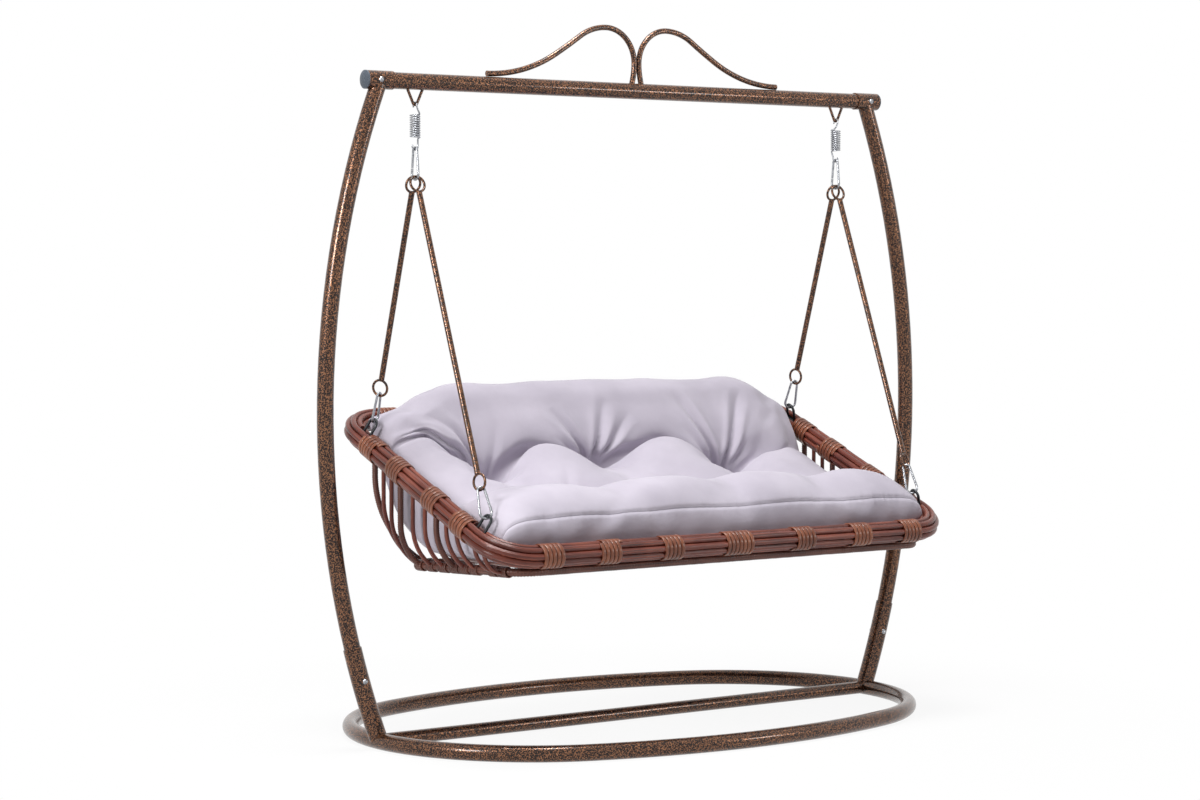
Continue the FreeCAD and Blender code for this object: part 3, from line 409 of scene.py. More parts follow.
def rounded(corners: Line, radius: float, steps: int = 10) -> list[Vector]:
    """Run through corners with a round bend at each inner one.

    Args:
        corners: the corner points.
        radius: the bend's radius.
        steps: points on each bend.

    Returns:
        Points of the line.
    """
    line = [corners[0]]
    for before, corner, after in zip(corners, corners[1:], corners[2:]):
        back = (before - corner).normalized()
        ahead = (after - corner).normalized()
        half = back.angle(ahead) / 2
        centre = corner + (back + ahead).normalized() * (radius / math.sin(half))
        start = corner + back * (radius / math.tan(half)) - centre
        end = corner + ahead * (radius / math.tan(half)) - centre
        sweep = start.angle(end)
        for step in range(steps + 1):
            share = step / steps
            line.append(centre + (start * math.sin((1 - share) * sweep) + end * math.sin(share * sweep))
                        / math.sin(sweep))
    line.append(corners[-1])
    return line


def linked(name: str, data: bpy.types.ID) -> Piece:
    """Put an object with its data into the scene."""
    piece = bpy.data.objects.new(name, data)
    bpy.context.collection.objects.link(piece)
    return piece


def settled(piece: Piece) -> bpy.types.Mesh:
    """Give the plain mesh that an object's modifiers make."""
    return bpy.data.meshes.new_from_object(piece.evaluated_get(bpy.context.evaluated_depsgraph_get()))


def curve_object(name: str, lines: Sequence[Line], closed: bool = False) -> Piece:
    """Make a curve of straight-run splines through points."""
    curve = bpy.data.curves.new(name, "CURVE")
    curve.dimensions = "3D"
    for line in lines:
        spline = curve.splines.new("POLY")
        spline.points.add(len(line) - 1)
        spline.points.foreach_set("co", [value for point in line for value in (*point, 1.0)])
        spline.use_cyclic_u = closed
    return linked(name, curve)


class Tree(Graph):
    """A Geometry Nodes tree under construction, with named inputs."""

    def __init__(self, name: str, inputs: Sequence[tuple[str, str, object]]) -> None:
        """Start a tree with a geometry input, the given inputs and a geometry output."""
        super().__init__(bpy.data.node_groups.new(name, "GeometryNodeTree"))
        interface = self.tree.interface
        interface.new_socket("Geometry", in_out="INPUT", socket_type="NodeSocketGeometry")
        for label, kind, default in inputs:
            socket = interface.new_socket(label, in_out="INPUT", socket_type=kind)
            if default is not None:
                socket.default_value = default
        interface.new_socket("Geometry", in_out="OUTPUT", socket_type="NodeSocketGeometry")
        self.inputs = self.tree.nodes.new("NodeGroupInput").outputs
        self.output = self.tree.nodes.new("NodeGroupOutput")

    def capture(self, geometry: Socket, value: Socket) -> tuple[Socket, Socket]:
        """Keep a field's value on the points of a geometry."""
        node = self.tree.nodes.new("GeometryNodeCaptureAttribute")
        node.capture_items.new("FLOAT", "kept")
        self.feed(node.inputs[0], geometry)
        self.feed(node.inputs[1], value)
        return node.outputs[0], node.outputs[1]

    def lay(self, geometry: Socket, vector: Socket) -> Socket:
        """Store the strand's own coordinates on its points."""
        node = self.add("GeometryNodeStoreNamedAttribute", {"data_type": "FLOAT_VECTOR", "domain": "POINT"},
                        Geometry=geometry, Name="lay")
        self.feed(next(s for s in node.inputs if s.name == "Value" and s.type == "VECTOR"), vector)
        return node.outputs[0]

    def close(self, geometry: Socket) -> NodeTree:
        """End the tree with real instances, smooth faces and the material."""
        real = self.add("GeometryNodeRealizeInstances", n0=geometry)
        smooth = self.add("GeometryNodeSetShadeSmooth", n0=real.outputs[0])
        dressed = self.add("GeometryNodeSetMaterial", n0=smooth.outputs[0], Material=self.inputs["Material"])
        self.feed(self.output.inputs[0], dressed.outputs[0])
        return self.tree


def strand_tree() -> NodeTree:
    """Build the tree that turns lines into round strands with rings and a slightly uneven skin."""
    tree = Tree("strand", (("Radius", "NodeSocketFloat", 0.008), ("Sides", "NodeSocketInt", 14),
                           ("Step", "NodeSocketFloat", 0.01), ("Ring Pitch", "NodeSocketFloat", 1.0),
                           ("Ring Depth", "NodeSocketFloat", 0.0), ("Unevenness", "NodeSocketFloat", 0.0),
                           ("Seed", "NodeSocketFloat", 1.0), ("Material", "NodeSocketMaterial", None)))
    inputs = tree.inputs
    even = tree.add("GeometryNodeResampleCurve", {"mode": "LENGTH"}, Curve=inputs["Geometry"],
                    Length=inputs["Step"])
    lengths = tree.add("GeometryNodeSplineParameter")
    line, along = tree.capture(even.outputs[0], lengths.outputs["Length"])
    ring = tree.add("GeometryNodeCurvePrimitiveCircle", Resolution=inputs["Sides"], Radius=inputs["Radius"])
    round_share = tree.add("GeometryNodeSplineParameter")
    section, around = tree.capture(ring.outputs[0], round_share.outputs["Factor"])
    skin = tree.add("GeometryNodeCurveToMesh", Curve=line, Profile_Curve=section, Fill_Caps=True)
    turn = tree.times(around, 2 * math.pi)
    place = tree.add("ShaderNodeCombineXYZ", X=along,
                     Y=tree.times(tree.math("COSINE", turn), inputs["Radius"]),
                     Z=tree.times(tree.math("SINE", turn), inputs["Radius"]))
    laid = tree.lay(skin.outputs[0], place.outputs[0])
    wave = tree.math("ABSOLUTE", tree.math("SINE", tree.math("DIVIDE", tree.times(along, math.pi),
                                                             inputs["Ring Pitch"])))
    rise = tree.times(tree.minus(wave, 1.0), inputs["Ring Depth"])
    cloud = tree.add("ShaderNodeTexNoise", {"noise_dimensions": "4D"}, Scale=STRAND_GRAIN, Detail=2.0,
                     W=inputs["Seed"])
    bumpy = tree.times(tree.minus(cloud.outputs[0], 0.5), inputs["Unevenness"])
    normal = tree.add("GeometryNodeInputNormal")
    offset = tree.add("ShaderNodeVectorMath", {"operation": "SCALE"}, n0=normal.outputs[0],
                      Scale=tree.plus(rise, bumpy))
    moved = tree.add("GeometryNodeSetPosition", Geometry=laid, Offset=offset.outputs[0])
    return tree.close(moved.outputs[0])


def winding_tree() -> NodeTree:
    """Build the tree that winds a flat half-round strip round a rail at each point of a mesh.

    Each point carries the rail's direction in its attribute "rail".

    Returns:
        The finished tree.
    """
    tree = Tree("winding", (("Turns", "NodeSocketFloat", 5.0), ("Pitch", "NodeSocketFloat", 0.0134),
                            ("Width", "NodeSocketFloat", 0.0124), ("Height", "NodeSocketFloat", 0.0022),
                            ("Inner Radius", "NodeSocketFloat", 0.0316), ("Seed", "NodeSocketInt", 4),
                            ("Material", "NodeSocketMaterial", None)))
    inputs = tree.inputs
    columns = tree.times(inputs["Turns"], STRIP_COLUMNS)
    grid = tree.add("GeometryNodeMeshGrid", Size_X=1.0, Size_Y=1.0, Vertices_X=columns, Vertices_Y=STRIP_ROWS)
    spot = tree.add("ShaderNodeSeparateXYZ", Vector=tree.add("GeometryNodeInputPosition").outputs[0])
    along, across = spot.outputs["X"], spot.outputs["Y"]
    turn = tree.times(tree.times(along, inputs["Turns"]), 2 * math.pi)
    wobble = tree.add("ShaderNodeTexNoise", {"noise_dimensions": "1D"}, Scale=2.2, Detail=1.0, W=turn)
    stray = tree.times(tree.minus(wobble.outputs[0], 0.5), tree.times(inputs["Width"], STRIP_STRAY))
    lead = tree.times(tree.times(along, inputs["Turns"]), inputs["Pitch"])
    side = tree.plus(tree.times(across, inputs["Width"]), stray)
    edge = tree.times(tree.math("ABSOLUTE", across), 2.0)
    crown = tree.minus(1.0, tree.math("POWER", edge, STRIP_CROWN))
    radius = tree.plus(inputs["Inner Radius"], tree.times(crown, inputs["Height"]))
    wound = tree.add("ShaderNodeCombineXYZ", X=tree.plus(lead, side),
                     Y=tree.times(tree.math("COSINE", turn), radius),
                     Z=tree.times(tree.math("SINE", turn), radius))
    own = tree.add("ShaderNodeCombineXYZ", X=tree.times(turn, inputs["Inner Radius"]), Y=side)
    laid = tree.lay(grid.outputs["Mesh"], own.outputs[0])
    strip = tree.add("GeometryNodeSetPosition", Geometry=laid, Position=wound.outputs[0])
    rail = tree.add("GeometryNodeInputNamedAttribute", {"data_type": "FLOAT_VECTOR"}, Name="rail")
    aimed = tree.add("FunctionNodeAlignRotationToVector", {"axis": "X"}, Vector=rail.outputs[0])
    chance = tree.add("FunctionNodeRandomValue", {"data_type": "FLOAT"}, Seed=inputs["Seed"])
    chance.inputs[3].default_value = 2 * math.pi
    angle = next(s for s in chance.outputs if s.enabled and s.type == "VALUE")
    spin = tree.add("FunctionNodeAxisAngleToRotation", Axis=(1.0, 0.0, 0.0), Angle=angle)
    spun = tree.add("FunctionNodeRotateRotation", {"rotation_space": "LOCAL"}, n0=aimed.outputs[0],
                    n1=spin.outputs[0])
    many = tree.add("GeometryNodeInstanceOnPoints", Points=inputs["Geometry"], Instance=strip.outputs[0],
                    Rotation=spun.outputs[0])
    return tree.close(many.outputs[0])


def grown(piece: Piece, tree: NodeTree, values: dict[str, object]) -> Piece:
    """Run a tree on an object and keep the result as a plain mesh.

    Args:
        piece: the object that carries the lines or points; it is taken away.
        tree: the tree.
        values: the tree's inputs by name.

    Returns:
        The new mesh object.
    """
    modifier = piece.modifiers.new("grow", "NODES")
    modifier.node_group = tree
    for item in tree.interface.items_tree:
        if item.in_out == "INPUT" and item.name in values:
            modifier[item.identifier] = values[item.name]
    name = piece.name
    mesh = settled(piece)
    bpy.data.objects.remove(piece)
    mesh.name = name
    if not mesh.materials:
        mesh.materials.append(values["Material"])
    return linked(name, mesh)


def thickened(piece: Piece, thickness: float) -> Piece:
    """Give an open strip a wall below its face, closed at the edges."""
    solid = piece.modifiers.new("wall", "SOLIDIFY")
    solid.thickness = thickness
    solid.offset = -1.0
    mesh = settled(piece)
    piece.modifiers.clear()
    piece.data = mesh
    return piece


# Sub-assemblies


@dataclass
class Stand:
    """The steel stand and hanging gear, whose solids stay and get their finishes."""

    wardrobe: Wardrobe
    nodes: dict[str, Piece]

    def finish_of(self, node: str) -> Finish:
        """Choose the finish of a node by its name."""
        if node.endswith("end_cap"):
            return Finish.CAP
        if node.endswith("seat_eyes") or node == "rim_core":
            return Finish.DARK
        if any(word in node for word in ("bolts", "nuts", "hook", "gate")):
            return Finish.ZINC
        return Finish.COPPER

    def dress(self, kept: Sequence[str]) -> None:
        """Give each node that stays in view its finish."""
        for name in kept:
            piece = self.nodes[name]
            material = self.wardrobe.get(self.finish_of(name))
            piece.data.materials.clear()
            piece.data.materials.append(material)
            LOG.info("%s dressed in %s", name, material.name)


@dataclass
class Springs:
    """The two tension springs, each one wire with a loop at both ends."""

    wardrobe: Wardrobe
    strands: NodeTree
    coil: float = 0.0127
    wire: float = 0.0023
    pitch: float = 0.0062
    turns: int = 10
    loop: float = 0.009
    neck: float = 0.024
    hang: float = 0.744743
    top: float = 1.73513
    steps: int = 28
    loop_steps: int = 18
    loop_past: float = 0.5
    neck_steps: int = 12
    neck_pull: float = 1.1

    def line(self) -> list[Vector]:
        """Give points of the wire about the spring's axis, from the upper loop's free end down."""
        points = []
        sweep = math.pi + self.loop_past
        for step in range(self.loop_steps):
            turn = -self.loop_past + sweep * step / (self.loop_steps - 1)
            points.append(Vector((0, self.loop * math.cos(turn), self.loop * math.sin(turn))))
        points += self.neck_line(Vector((0, -self.loop, 0)), Vector((0, 0, -1)),
                                 Vector((-self.coil, 0, -self.neck)), Vector((0, 1, 0)))
        total = self.turns * self.steps
        for step in range(total + 1):
            turn = math.pi - 2 * math.pi * step / self.steps
            points.append(Vector((self.coil * math.cos(turn), self.coil * math.sin(turn),
                                  -self.neck - self.pitch * step / self.steps)))
        floor = -2 * self.neck - self.pitch * self.turns
        points += self.neck_line(points[-1], Vector((0, 1, 0)), Vector((-self.loop, 0, floor)),
                                 Vector((0, 0, -1)))
        for step in range(1, self.loop_steps + 1):
            turn = math.pi + sweep * step / self.loop_steps
            points.append(Vector((self.loop * math.cos(turn), 0, floor + self.loop * math.sin(turn))))
        return points

    def neck_line(self, start: Vector, leave: Vector, end: Vector, arrive: Vector) -> list[Vector]:
        """Ease from one point and heading to another along a smooth curve."""
        reach = (end - start).length * self.neck_pull
        points = []
        for step in range(1, self.neck_steps):
            share = step / self.neck_steps
            points.append(start * (2 * share ** 3 - 3 * share ** 2 + 1)
                          + leave * reach * (share ** 3 - 2 * share ** 2 + share)
                          + end * (3 * share ** 2 - 2 * share ** 3)
                          + arrive * reach * (share ** 3 - share ** 2))
        return points

    def build(self) -> None:
        """Make both springs in place of the frame's own."""
        for side, sign in (("right", 1), ("left", -1)):
            line = [Vector((sign * (self.hang + point.x), point.y, self.top + point.z))
                    for point in self.line()]
            piece = grown(curve_object(side + "_spring_wire", [line]), self.strands,
                          {"Radius": self.wire, "Sides": 12, "Step": 0.0022,
                           "Material": self.wardrobe.get(Finish.ZINC)})
            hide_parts(side + "_spring")
            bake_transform(piece)
            LOG.info("%s made", piece.name)


@dataclass
class Basket:
    """The cane basket: rim bundle, bindings, hoop, ribs and the canes under the cushion."""

    wardrobe: Wardrobe
    strands: NodeTree
    windings: NodeTree
    half_width: float = 0.770
    front_reach: float = 0.455
    front_height: float = 0.545
    depth: float = 0.870
    tilt: float = math.radians(21.9)
    corner: float = 0.110
    cane: float = 0.0085
    circle: float = 0.0227
    cane_count: int = 8
    eye_cane: int = 2
    eye_runs: tuple = (0.128, 0.741)
    notch: float = 0.026
    fine_step: float = 0.004
    narrow_turns: float = 5.0
    wide_turns: float = 7.0
    strip_wall: float = 0.0009
    binding_reaches: tuple = (0.227, 0.435, 0.622)
    side_shares: tuple = (0.222, 0.390, 0.612, 0.775)
    thick_shares: tuple = (0.390, 0.612, 0.775)
    thin_shares: tuple = (0.105, 0.163, 0.270, 0.330, 0.460, 0.535, 0.670, 0.720)
    rear_shares: tuple = (0.612, 0.775)
    bend_shares: tuple = (0.09, 0.82)
    hoop: float = 0.011
    hoop_skin: float = 0.0008
    hoop_half_width: float = 0.705
    hoop_front: tuple = (-0.436, 0.503)
    hoop_back: tuple = (0.095, 0.482)
    hoop_corner: float = 0.070
    thick: float = 0.0085
    thin: float = 0.006
    rib_drop: float = 0.114
    rib_steps: int = 20
    rib_ring: float = 0.0010
    least_run: float = 0.001
    cane_spacing: float = 0.098
    canes_each_side: int = 6
    thick_every: int = 3
    cane_bend: float = 0.110
    cross: float = 0.006
    cross_half_length: float = 0.640
    back_shares: tuple = (0.22, 0.42, 0.62)
    floor_shares: tuple = (0.25, 0.60)
    gap: float = 0.0003
    back_axis: Vector = field(init=False)
    up_axis: Vector = field(init=False)

    def __post_init__(self) -> None:
        """Work out the rim plane's axes."""
        self.back_axis = Vector((0, math.cos(self.tilt), math.sin(self.tilt)))
        self.up_axis = Vector((0, -math.sin(self.tilt), math.cos(self.tilt)))

    def rim(self, across: float, run: float, lift: float = 0.0) -> Vector:
        """Give a point by its place across, its run back along the rim and its lift off the rim's plane."""
        front = Vector((across, -self.front_reach, self.front_height))
        return front + self.back_axis * run + self.up_axis * lift

    def keep(self, piece: Piece, slot: str, *nodes: str) -> None:
        """Let a finished piece ride on the seat and stand for its nodes."""
        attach(piece, SEAT)
        if nodes:
            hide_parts(*nodes)
        LOG.info("%s made, %d faces", piece.name, len(piece.data.polygons))

    def strand(self, name: str, lines: Sequence[Line], finish: Finish, closed: bool = False,
               **values: object) -> Piece:
        """Grow strands along lines; values are the tree's inputs with underscores."""
        inputs = {key.replace("_", " "): value for key, value in values.items()}
        inputs["Material"] = self.wardrobe.get(finish)
        return grown(curve_object(name, lines, closed), self.strands, inputs)

    def build(self) -> None:
        """Make every piece of the basket."""
        self.build_rim()
        self.build_bindings()
        self.build_ribs()
        self.build_floor()

    def cane_line(self, offset: float, lift: float) -> list[Vector]:
        """Give one cane's closed line round the rim, moved outward and up."""
        wide = self.half_width + offset
        deep = self.depth + offset
        corners = [self.rim(0, -offset, lift), self.rim(wide, -offset, lift), self.rim(wide, deep, lift),
                   self.rim(-wide, deep, lift), self.rim(-wide, -offset, lift), self.rim(0, -offset, lift)]
        return rounded(corners, self.corner + offset)[:-1]

    def build_rim(self) -> None:
        """Make the rim's canes, the upper inner one broken where the seat eyes pass."""
        whole, broken = [], []
        for index in range(self.cane_count):
            turn = 2 * math.pi * (index + 0.5) / self.cane_count
            line = self.cane_line(self.circle * math.cos(turn), self.circle * math.sin(turn))
            if index == self.eye_cane:
                broken = self.split_at_eyes(line)
            else:
                whole.append(line)
        values = {"Radius": self.cane, "Sides": 16, "Step": 0.011, "Unevenness": 0.0012}
        loops = self.strand("rim_canes", whole, Finish.CANE, True, **values)
        runs = self.strand("rim_inner_cane", broken, Finish.CANE, False, **values, Seed=3.0)
        self.keep(loops, "cane", "left_rim_canes", "right_rim_canes")
        self.keep(runs, "cane")

    def split_at_eyes(self, line: list[Vector]) -> list[list[Vector]]:
        """Cut a closed line where it passes the four seat eyes."""
        fine: list[Vector] = []
        for start, end in zip(line, line[1:] + line[:1]):
            steps = max(1, int((end - start).length / self.fine_step))
            fine += [start.lerp(end, step / steps) for step in range(steps)]
        runs: list[list[Vector]] = [[]]
        for point in fine:
            run = (point - self.rim(0, 0)).dot(self.back_axis)
            near = abs(point.x) > self.half_width - self.corner
            if near and any(abs(run - eye) < self.notch for eye in self.eye_runs):
                if runs[-1]:
                    runs.append([])
            else:
                runs[-1].append(point)
        runs[0] = runs.pop() + runs[0]
        return [run for run in runs if len(run) > 2]

    def winding_points(self, name: str, places: Sequence[tuple[Vector, Vector]]) -> Piece:
        """Make a mesh of loose points, each with its rail's direction."""
        mesh = bpy.data.meshes.new(name)
        mesh.from_pydata([place for place, _ in places], [], [])
        rails = mesh.attributes.new("rail", "FLOAT_VECTOR", "POINT")
        rails.data.foreach_set("vector", [value for _, rail in places for value in rail])
        return linked(name, mesh)

    def build_bindings(self) -> None:
        """Wind strips round the rim: a wide one at each middle, and narrow ones along all four rails."""
        along_x = Vector((1, 0, 0))
        narrow = [(self.rim(sign * reach, run), along_x) for run in (0.0, self.depth)
                  for reach in self.binding_reaches for sign in (-1, 1)]
        narrow += [(self.rim(sign * self.half_width, share * self.depth), self.back_axis)
                   for share in self.side_shares for sign in (-1, 1)]
        wide = [(self.rim(0, run), along_x) for run in (0.0, self.depth)]
        material = self.wardrobe.get(Finish.STRIP)
        nodes = ("front_bindings", "side_bindings", "back_bindings")
        for name, places, turns, replaced in (("narrow_bindings", narrow, self.narrow_turns, nodes),
                                              ("middle_bindings", wide, self.wide_turns, ())):
            values = {"Turns": turns, "Material": material}
            piece = grown(self.winding_points(name, places), self.windings, values)
            self.keep(thickened(piece, self.strip_wall), "binding", *replaced)

    def hoop_seat(self, rail: Vector, share: float) -> tuple[Vector, Vector]:
        """Find where a rib meets the hoop's line.

        Args:
            rail: the rib's place on the right rail.
            share: that place's share of the rail's run.

        Returns:
            The place on the hoop and the hoop's direction there.
        """
        near = Vector((self.hoop_half_width, *self.hoop_front))
        far = Vector((self.hoop_half_width, *self.hoop_back))
        back = (far - near).normalized()
        first, last = self.rear_shares
        if share < first:
            return near + (far - near) * ((rail.y - near.y) / (far.y - near.y)), back
        low, high = self.bend_shares
        turn = math.pi / 2 * (low + (high - low) * (share - first) / (last - first))
        side = Vector((1, 0, 0))
        spread = side * (math.cos(turn) - 1) + back * (math.sin(turn) - 1)
        return far + spread * self.hoop_corner, back * math.cos(turn) - side * math.sin(turn)

    def rib_line(self, share: float) -> list[Vector]:
        """Give a right rib's line from inside the rim's bundle straight down, then in one arc to the hoop."""
        rail = self.rim(self.half_width, share * self.depth)
        seat, _ = self.hoop_seat(rail, share)
        down = Vector((0, 0, -1))
        top = rail + down * self.circle
        reach = math.hypot(rail.x - seat.x, rail.y - seat.y)
        drop = min(top.z - seat.z, self.rib_drop * reach / (self.half_width - self.hoop_half_width))
        shoulder = Vector((top.x, top.y, seat.z + drop))
        inward = Vector((seat.x - top.x, seat.y - top.y, 0)).normalized()
        radius = (drop ** 2 + reach ** 2) / (2 * reach)
        sweep = 2 * math.atan2(reach, drop)
        arc = []
        for step in range(self.rib_steps + 1):
            turn = sweep * step / self.rib_steps
            arc.append(shoulder + inward * radius * (1 - math.cos(turn)) + down * radius * math.sin(turn))
        return [top, *arc] if (top - shoulder).length > self.least_run else arc

    def mirrored(self, line: Line) -> list[Vector]:
        """Give the left side's copy of a line."""
        return [Vector((-point.x, point.y, point.z)) for point in line]

    def build_ribs(self) -> None:
        """Make both sides' ribs, the thick ones wound with a fine strand, and their lashings to the hoop."""
        lashed = []
        kinds = (("thick", self.thick_shares, self.thick, Finish.WRAPPED, self.rib_ring),
                 ("thin", self.thin_shares, self.thin, Finish.CANE, 0.0))
        for kind, shares, radius, finish, ring in kinds:
            lines = [self.rib_line(share) for share in shares]
            lines += [self.mirrored(line) for line in lines]
            piece = self.strand(kind + "_ribs", lines, finish, Radius=radius, Sides=14, Step=0.0014,
                                Ring_Pitch=0.0062, Ring_Depth=ring, Unevenness=0.0008)
            self.keep(piece, "wrapped_cane" if ring else "cane", kind + "_side_ribs")
            for share in shares:
                place, rail = self.hoop_seat(self.rim(self.half_width, share * self.depth), share)
                lashed += [(place, rail), tuple(self.mirrored((place, rail)))]
        piece = grown(self.winding_points("hoop_lashings", lashed), self.windings,
                      {"Turns": 4.5, "Pitch": 0.0085, "Width": 0.0088, "Height": 0.0030,
                       "Inner Radius": 0.0118, "Seed": 9, "Material": self.wardrobe.get(Finish.WRAPPED)})
        self.keep(thickened(piece, self.strip_wall), "wrapped_cane")

    def seat_cane(self, across: float) -> list[Vector]:
        """Give the corners of a cane that runs along the floor and up the back."""
        lift = self.hoop + self.thick + self.gap
        start = Vector((across, self.hoop_front[0] + self.hoop, self.hoop_front[1]))
        heel = Vector((across, self.hoop_back[0], self.hoop_back[1] + lift))
        rail = self.rim(across, self.depth)
        return [start, heel, rail - (rail - heel).normalized() * self.circle]

    def build_floor(self) -> None:
        """Make the hoop and the canes of the floor and back."""
        wide = Vector((self.hoop_half_width, 0, 0))
        near, far = Vector((0, *self.hoop_front)), Vector((0, *self.hoop_back))
        loop = rounded([near, near + wide, far + wide, far - wide, near - wide, near], self.hoop_corner)[:-1]
        hoop = self.strand("hoop_winding", [loop], Finish.WRAPPED, True, Radius=self.hoop + self.hoop_skin,
                           Sides=14, Step=0.0022, Ring_Pitch=0.0085, Ring_Depth=0.0016, Unevenness=0.0022)
        self.keep(hoop, "wrapped_cane", "bottom_hoop")
        groups: dict[str, list[list[Vector]]] = {"thick": [], "thin": []}
        for count in range(-self.canes_each_side, self.canes_each_side + 1):
            kind = "thin" if count % self.thick_every else "thick"
            groups[kind].append(rounded(self.seat_cane(count * self.cane_spacing), self.cane_bend))
        for kind, radius in (("thick", self.thick), ("thin", self.thin)):
            piece = self.strand(kind + "_floor_canes", groups[kind], Finish.CANE, Radius=radius, Sides=12,
                                Step=0.012, Unevenness=0.0008)
            self.keep(piece, "cane", kind + "_seat_canes")
        start, heel, top = self.seat_cane(0)
        under = self.thick + self.cross + self.gap
        half = Vector((self.cross_half_length, 0, 0))
        for name, first, last, shares in (("back", heel, top, self.back_shares),
                                          ("floor", start, heel, self.floor_shares)):
            along = (last - first).normalized()
            below = Vector((0, along.z, -along.y)) * under
            places = [first.lerp(last, share) + below for share in shares]
            lines = [[place - half, place + half] for place in places]
            piece = self.strand(name + "_canes_across", lines, Finish.CANE, Radius=self.cross, Sides=12,
                                Step=0.02, Unevenness=0.0008)
            self.keep(piece, "cane", name + "_cross_canes")


@dataclass(frozen=True)
class Crease:
    """A fold that runs out from a tuft."""

    tuft: int
    angle: float
    length: float
    depth: float
    bend: float = 0.0


@dataclass(frozen=True)
class Dip:
    """How deep the cover is drawn in, and how far that reaches across, over the seat and over the back."""

    depth: float
    across: float = 0.0
    ahead: float = 0.0
    behind: float = 0.0


@dataclass
class Cushion:
    """The one-piece cushion of seat and back, drawn in at six tufts and sewn along its front."""

    wardrobe: Wardrobe
    half_width: float = 0.734
    even_share: float = 0.45
    crowded_share: float = 0.55
    end_square: int = 24
    end_round: float = 2.3
    left_droop: tuple = (0.46, 0.32)
    right_droop: tuple = (0.62, 0.34)
    columns: int = 150
    rows: int = 236
    corners: tuple = ((-0.386, 0.513), (-0.414, 0.640), (-0.140, 0.660), (0.108, 0.722), (0.205, 0.900),
                      (0.304, 0.986), (0.334, 0.940), (0.299, 0.848), (0.124, 0.566), (0.025, 0.513))
    partners: tuple = (1, 0, 9, 8, 7, 6, 5, 4, 3, 2)
    bulges: tuple = (0.018, 0.046, -0.012, 0.010, 0.019, 0.011, 0.0, 0.0, 0.0, 0.0)
    back_tufts: tuple = (-0.440, -0.060, 0.400)
    front_tufts: tuple = (-0.330, 0.050, 0.400)
    fold_reaches: tuple = (-0.74, -0.62, -0.53, -0.440, -0.250, -0.060, 0.170, 0.400, 0.56, 0.74)
    fold_rises: tuple = (0.125, 0.115, 0.055, -0.030, 0.058, 0.008, 0.062, -0.040, 0.010, 0.05)
    creases: tuple = (
        Crease(0, 124, 0.26, 0.010, 0.02), Crease(0, 112, 0.15, 0.004), Crease(0, 66, 0.16, 0.004),
        Crease(0, -42, 0.14, 0.007), Crease(0, -100, 0.10, 0.005), Crease(0, 154, 0.27, 0.011, 0.02),
        Crease(0, 172, 0.27, 0.008, 0.012), Crease(0, 192, 0.24, 0.006),
        Crease(1, 122, 0.21, 0.014, 0.01), Crease(1, 71, 0.22, 0.015, -0.012),
        Crease(1, 40, 0.22, 0.010, 0.012), Crease(1, 152, 0.15, 0.008), Crease(1, -48, 0.12, 0.007),
        Crease(1, -118, 0.11, 0.005), Crease(1, 12, 0.15, 0.007),
        Crease(2, 117, 0.25, 0.015, 0.012), Crease(2, 58, 0.26, 0.015), Crease(2, 86, 0.12, 0.003),
        Crease(2, 142, 0.17, 0.008), Crease(2, -6, 0.13, 0.010), Crease(2, -60, 0.10, 0.005),
        Crease(2, 30, 0.14, 0.007),
        Crease(3, 62, 0.17, 0.003), Crease(4, 104, 0.17, 0.003), Crease(5, 82, 0.15, 0.003))
    pillow_places: tuple = ((-0.60, 0.12, 0.010), (-0.25, 0.16, 0.050), (0.17, 0.19, 0.050),
                            (0.58, 0.12, 0.026))
    crest_places: tuple = ((-0.54, 0.12, 0.007), (-0.15, 0.12, 0.014), (0.23, 0.11, 0.014),
                           (0.56, 0.11, 0.009))
    crest_lead: float = 0.095
    crest_reach: float = 0.075
    fold_dip: Dip = Dip(0.014, ahead=0.022, behind=0.090)
    back_dip: Dip = Dip(0.024, across=0.060, ahead=0.040, behind=0.110)
    row_dip: Dip = Dip(0.012, ahead=0.065)
    front_dip: Dip = Dip(0.032, across=0.085, ahead=0.075)
    fold_press: Dip = Dip(0.012, ahead=0.010, behind=0.045)
    back_press: Dip = Dip(0.010, across=0.018)
    front_press: Dip = Dip(0.006, across=0.03)
    seam_press: Dip = Dip(0.0034, ahead=0.0055)
    pucker: Dip = Dip(0.0010, ahead=0.018)
    slack: float = 0.0016
    slack_start: float = 0.04
    slack_fade: float = 0.05
    firm_middle: float = -0.02
    firm_reach: float = 0.44
    firm_fade: float = 0.16
    firm_loss: float = 0.88
    crease_gain: float = 2.0
    crease_width: float = 0.0070
    crease_spread: float = 0.011
    crease_start: float = 0.22
    crease_rim: float = 0.35
    top_weight: float = 1.9
    least_kept: float = 0.12
    smoothing: int = 14
    pressure: float = 4.0
    frames: int = 20
    most_move: float = 0.024
    calming: int = 7
    toe_held: float = 0.03
    end_held: float = 0.91
    end_fade: float = 0.05
    tuft_held: float = 0.016
    seam_run: float = field(init=False)
    row_run: float = field(init=False)
    fold_run: float = field(init=False)
    top_run: float = field(init=False)
    rear_run: float = field(init=False)

    def build(self) -> None:
        """Make the cushion: shape it, let the cloth swell, then fold and sew it."""
        grid, run = self.shape()
        grid = self.swell(grid, run)
        grid, run = self.finer(grid, run)
        grid = self.fold(grid, run)
        piece = self.piece("seat_cushion", grid)
        mesh = piece.data
        mesh.materials.append(self.wardrobe.get(Finish.CLOTH))
        mesh.shade_smooth()
        # Each point's run from the seam, which the cloth uses to paint shade along the seam's groove.
        seam = mesh.attributes.new("run", "FLOAT", "POINT")
        seam.data.foreach_set("value", np.tile(run - self.seam_run, grid.shape[0]).astype(np.float32))
        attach(piece, SEAT)
        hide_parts("cushion")
        LOG.info("%s made, %d faces", piece.name, len(mesh.polygons))

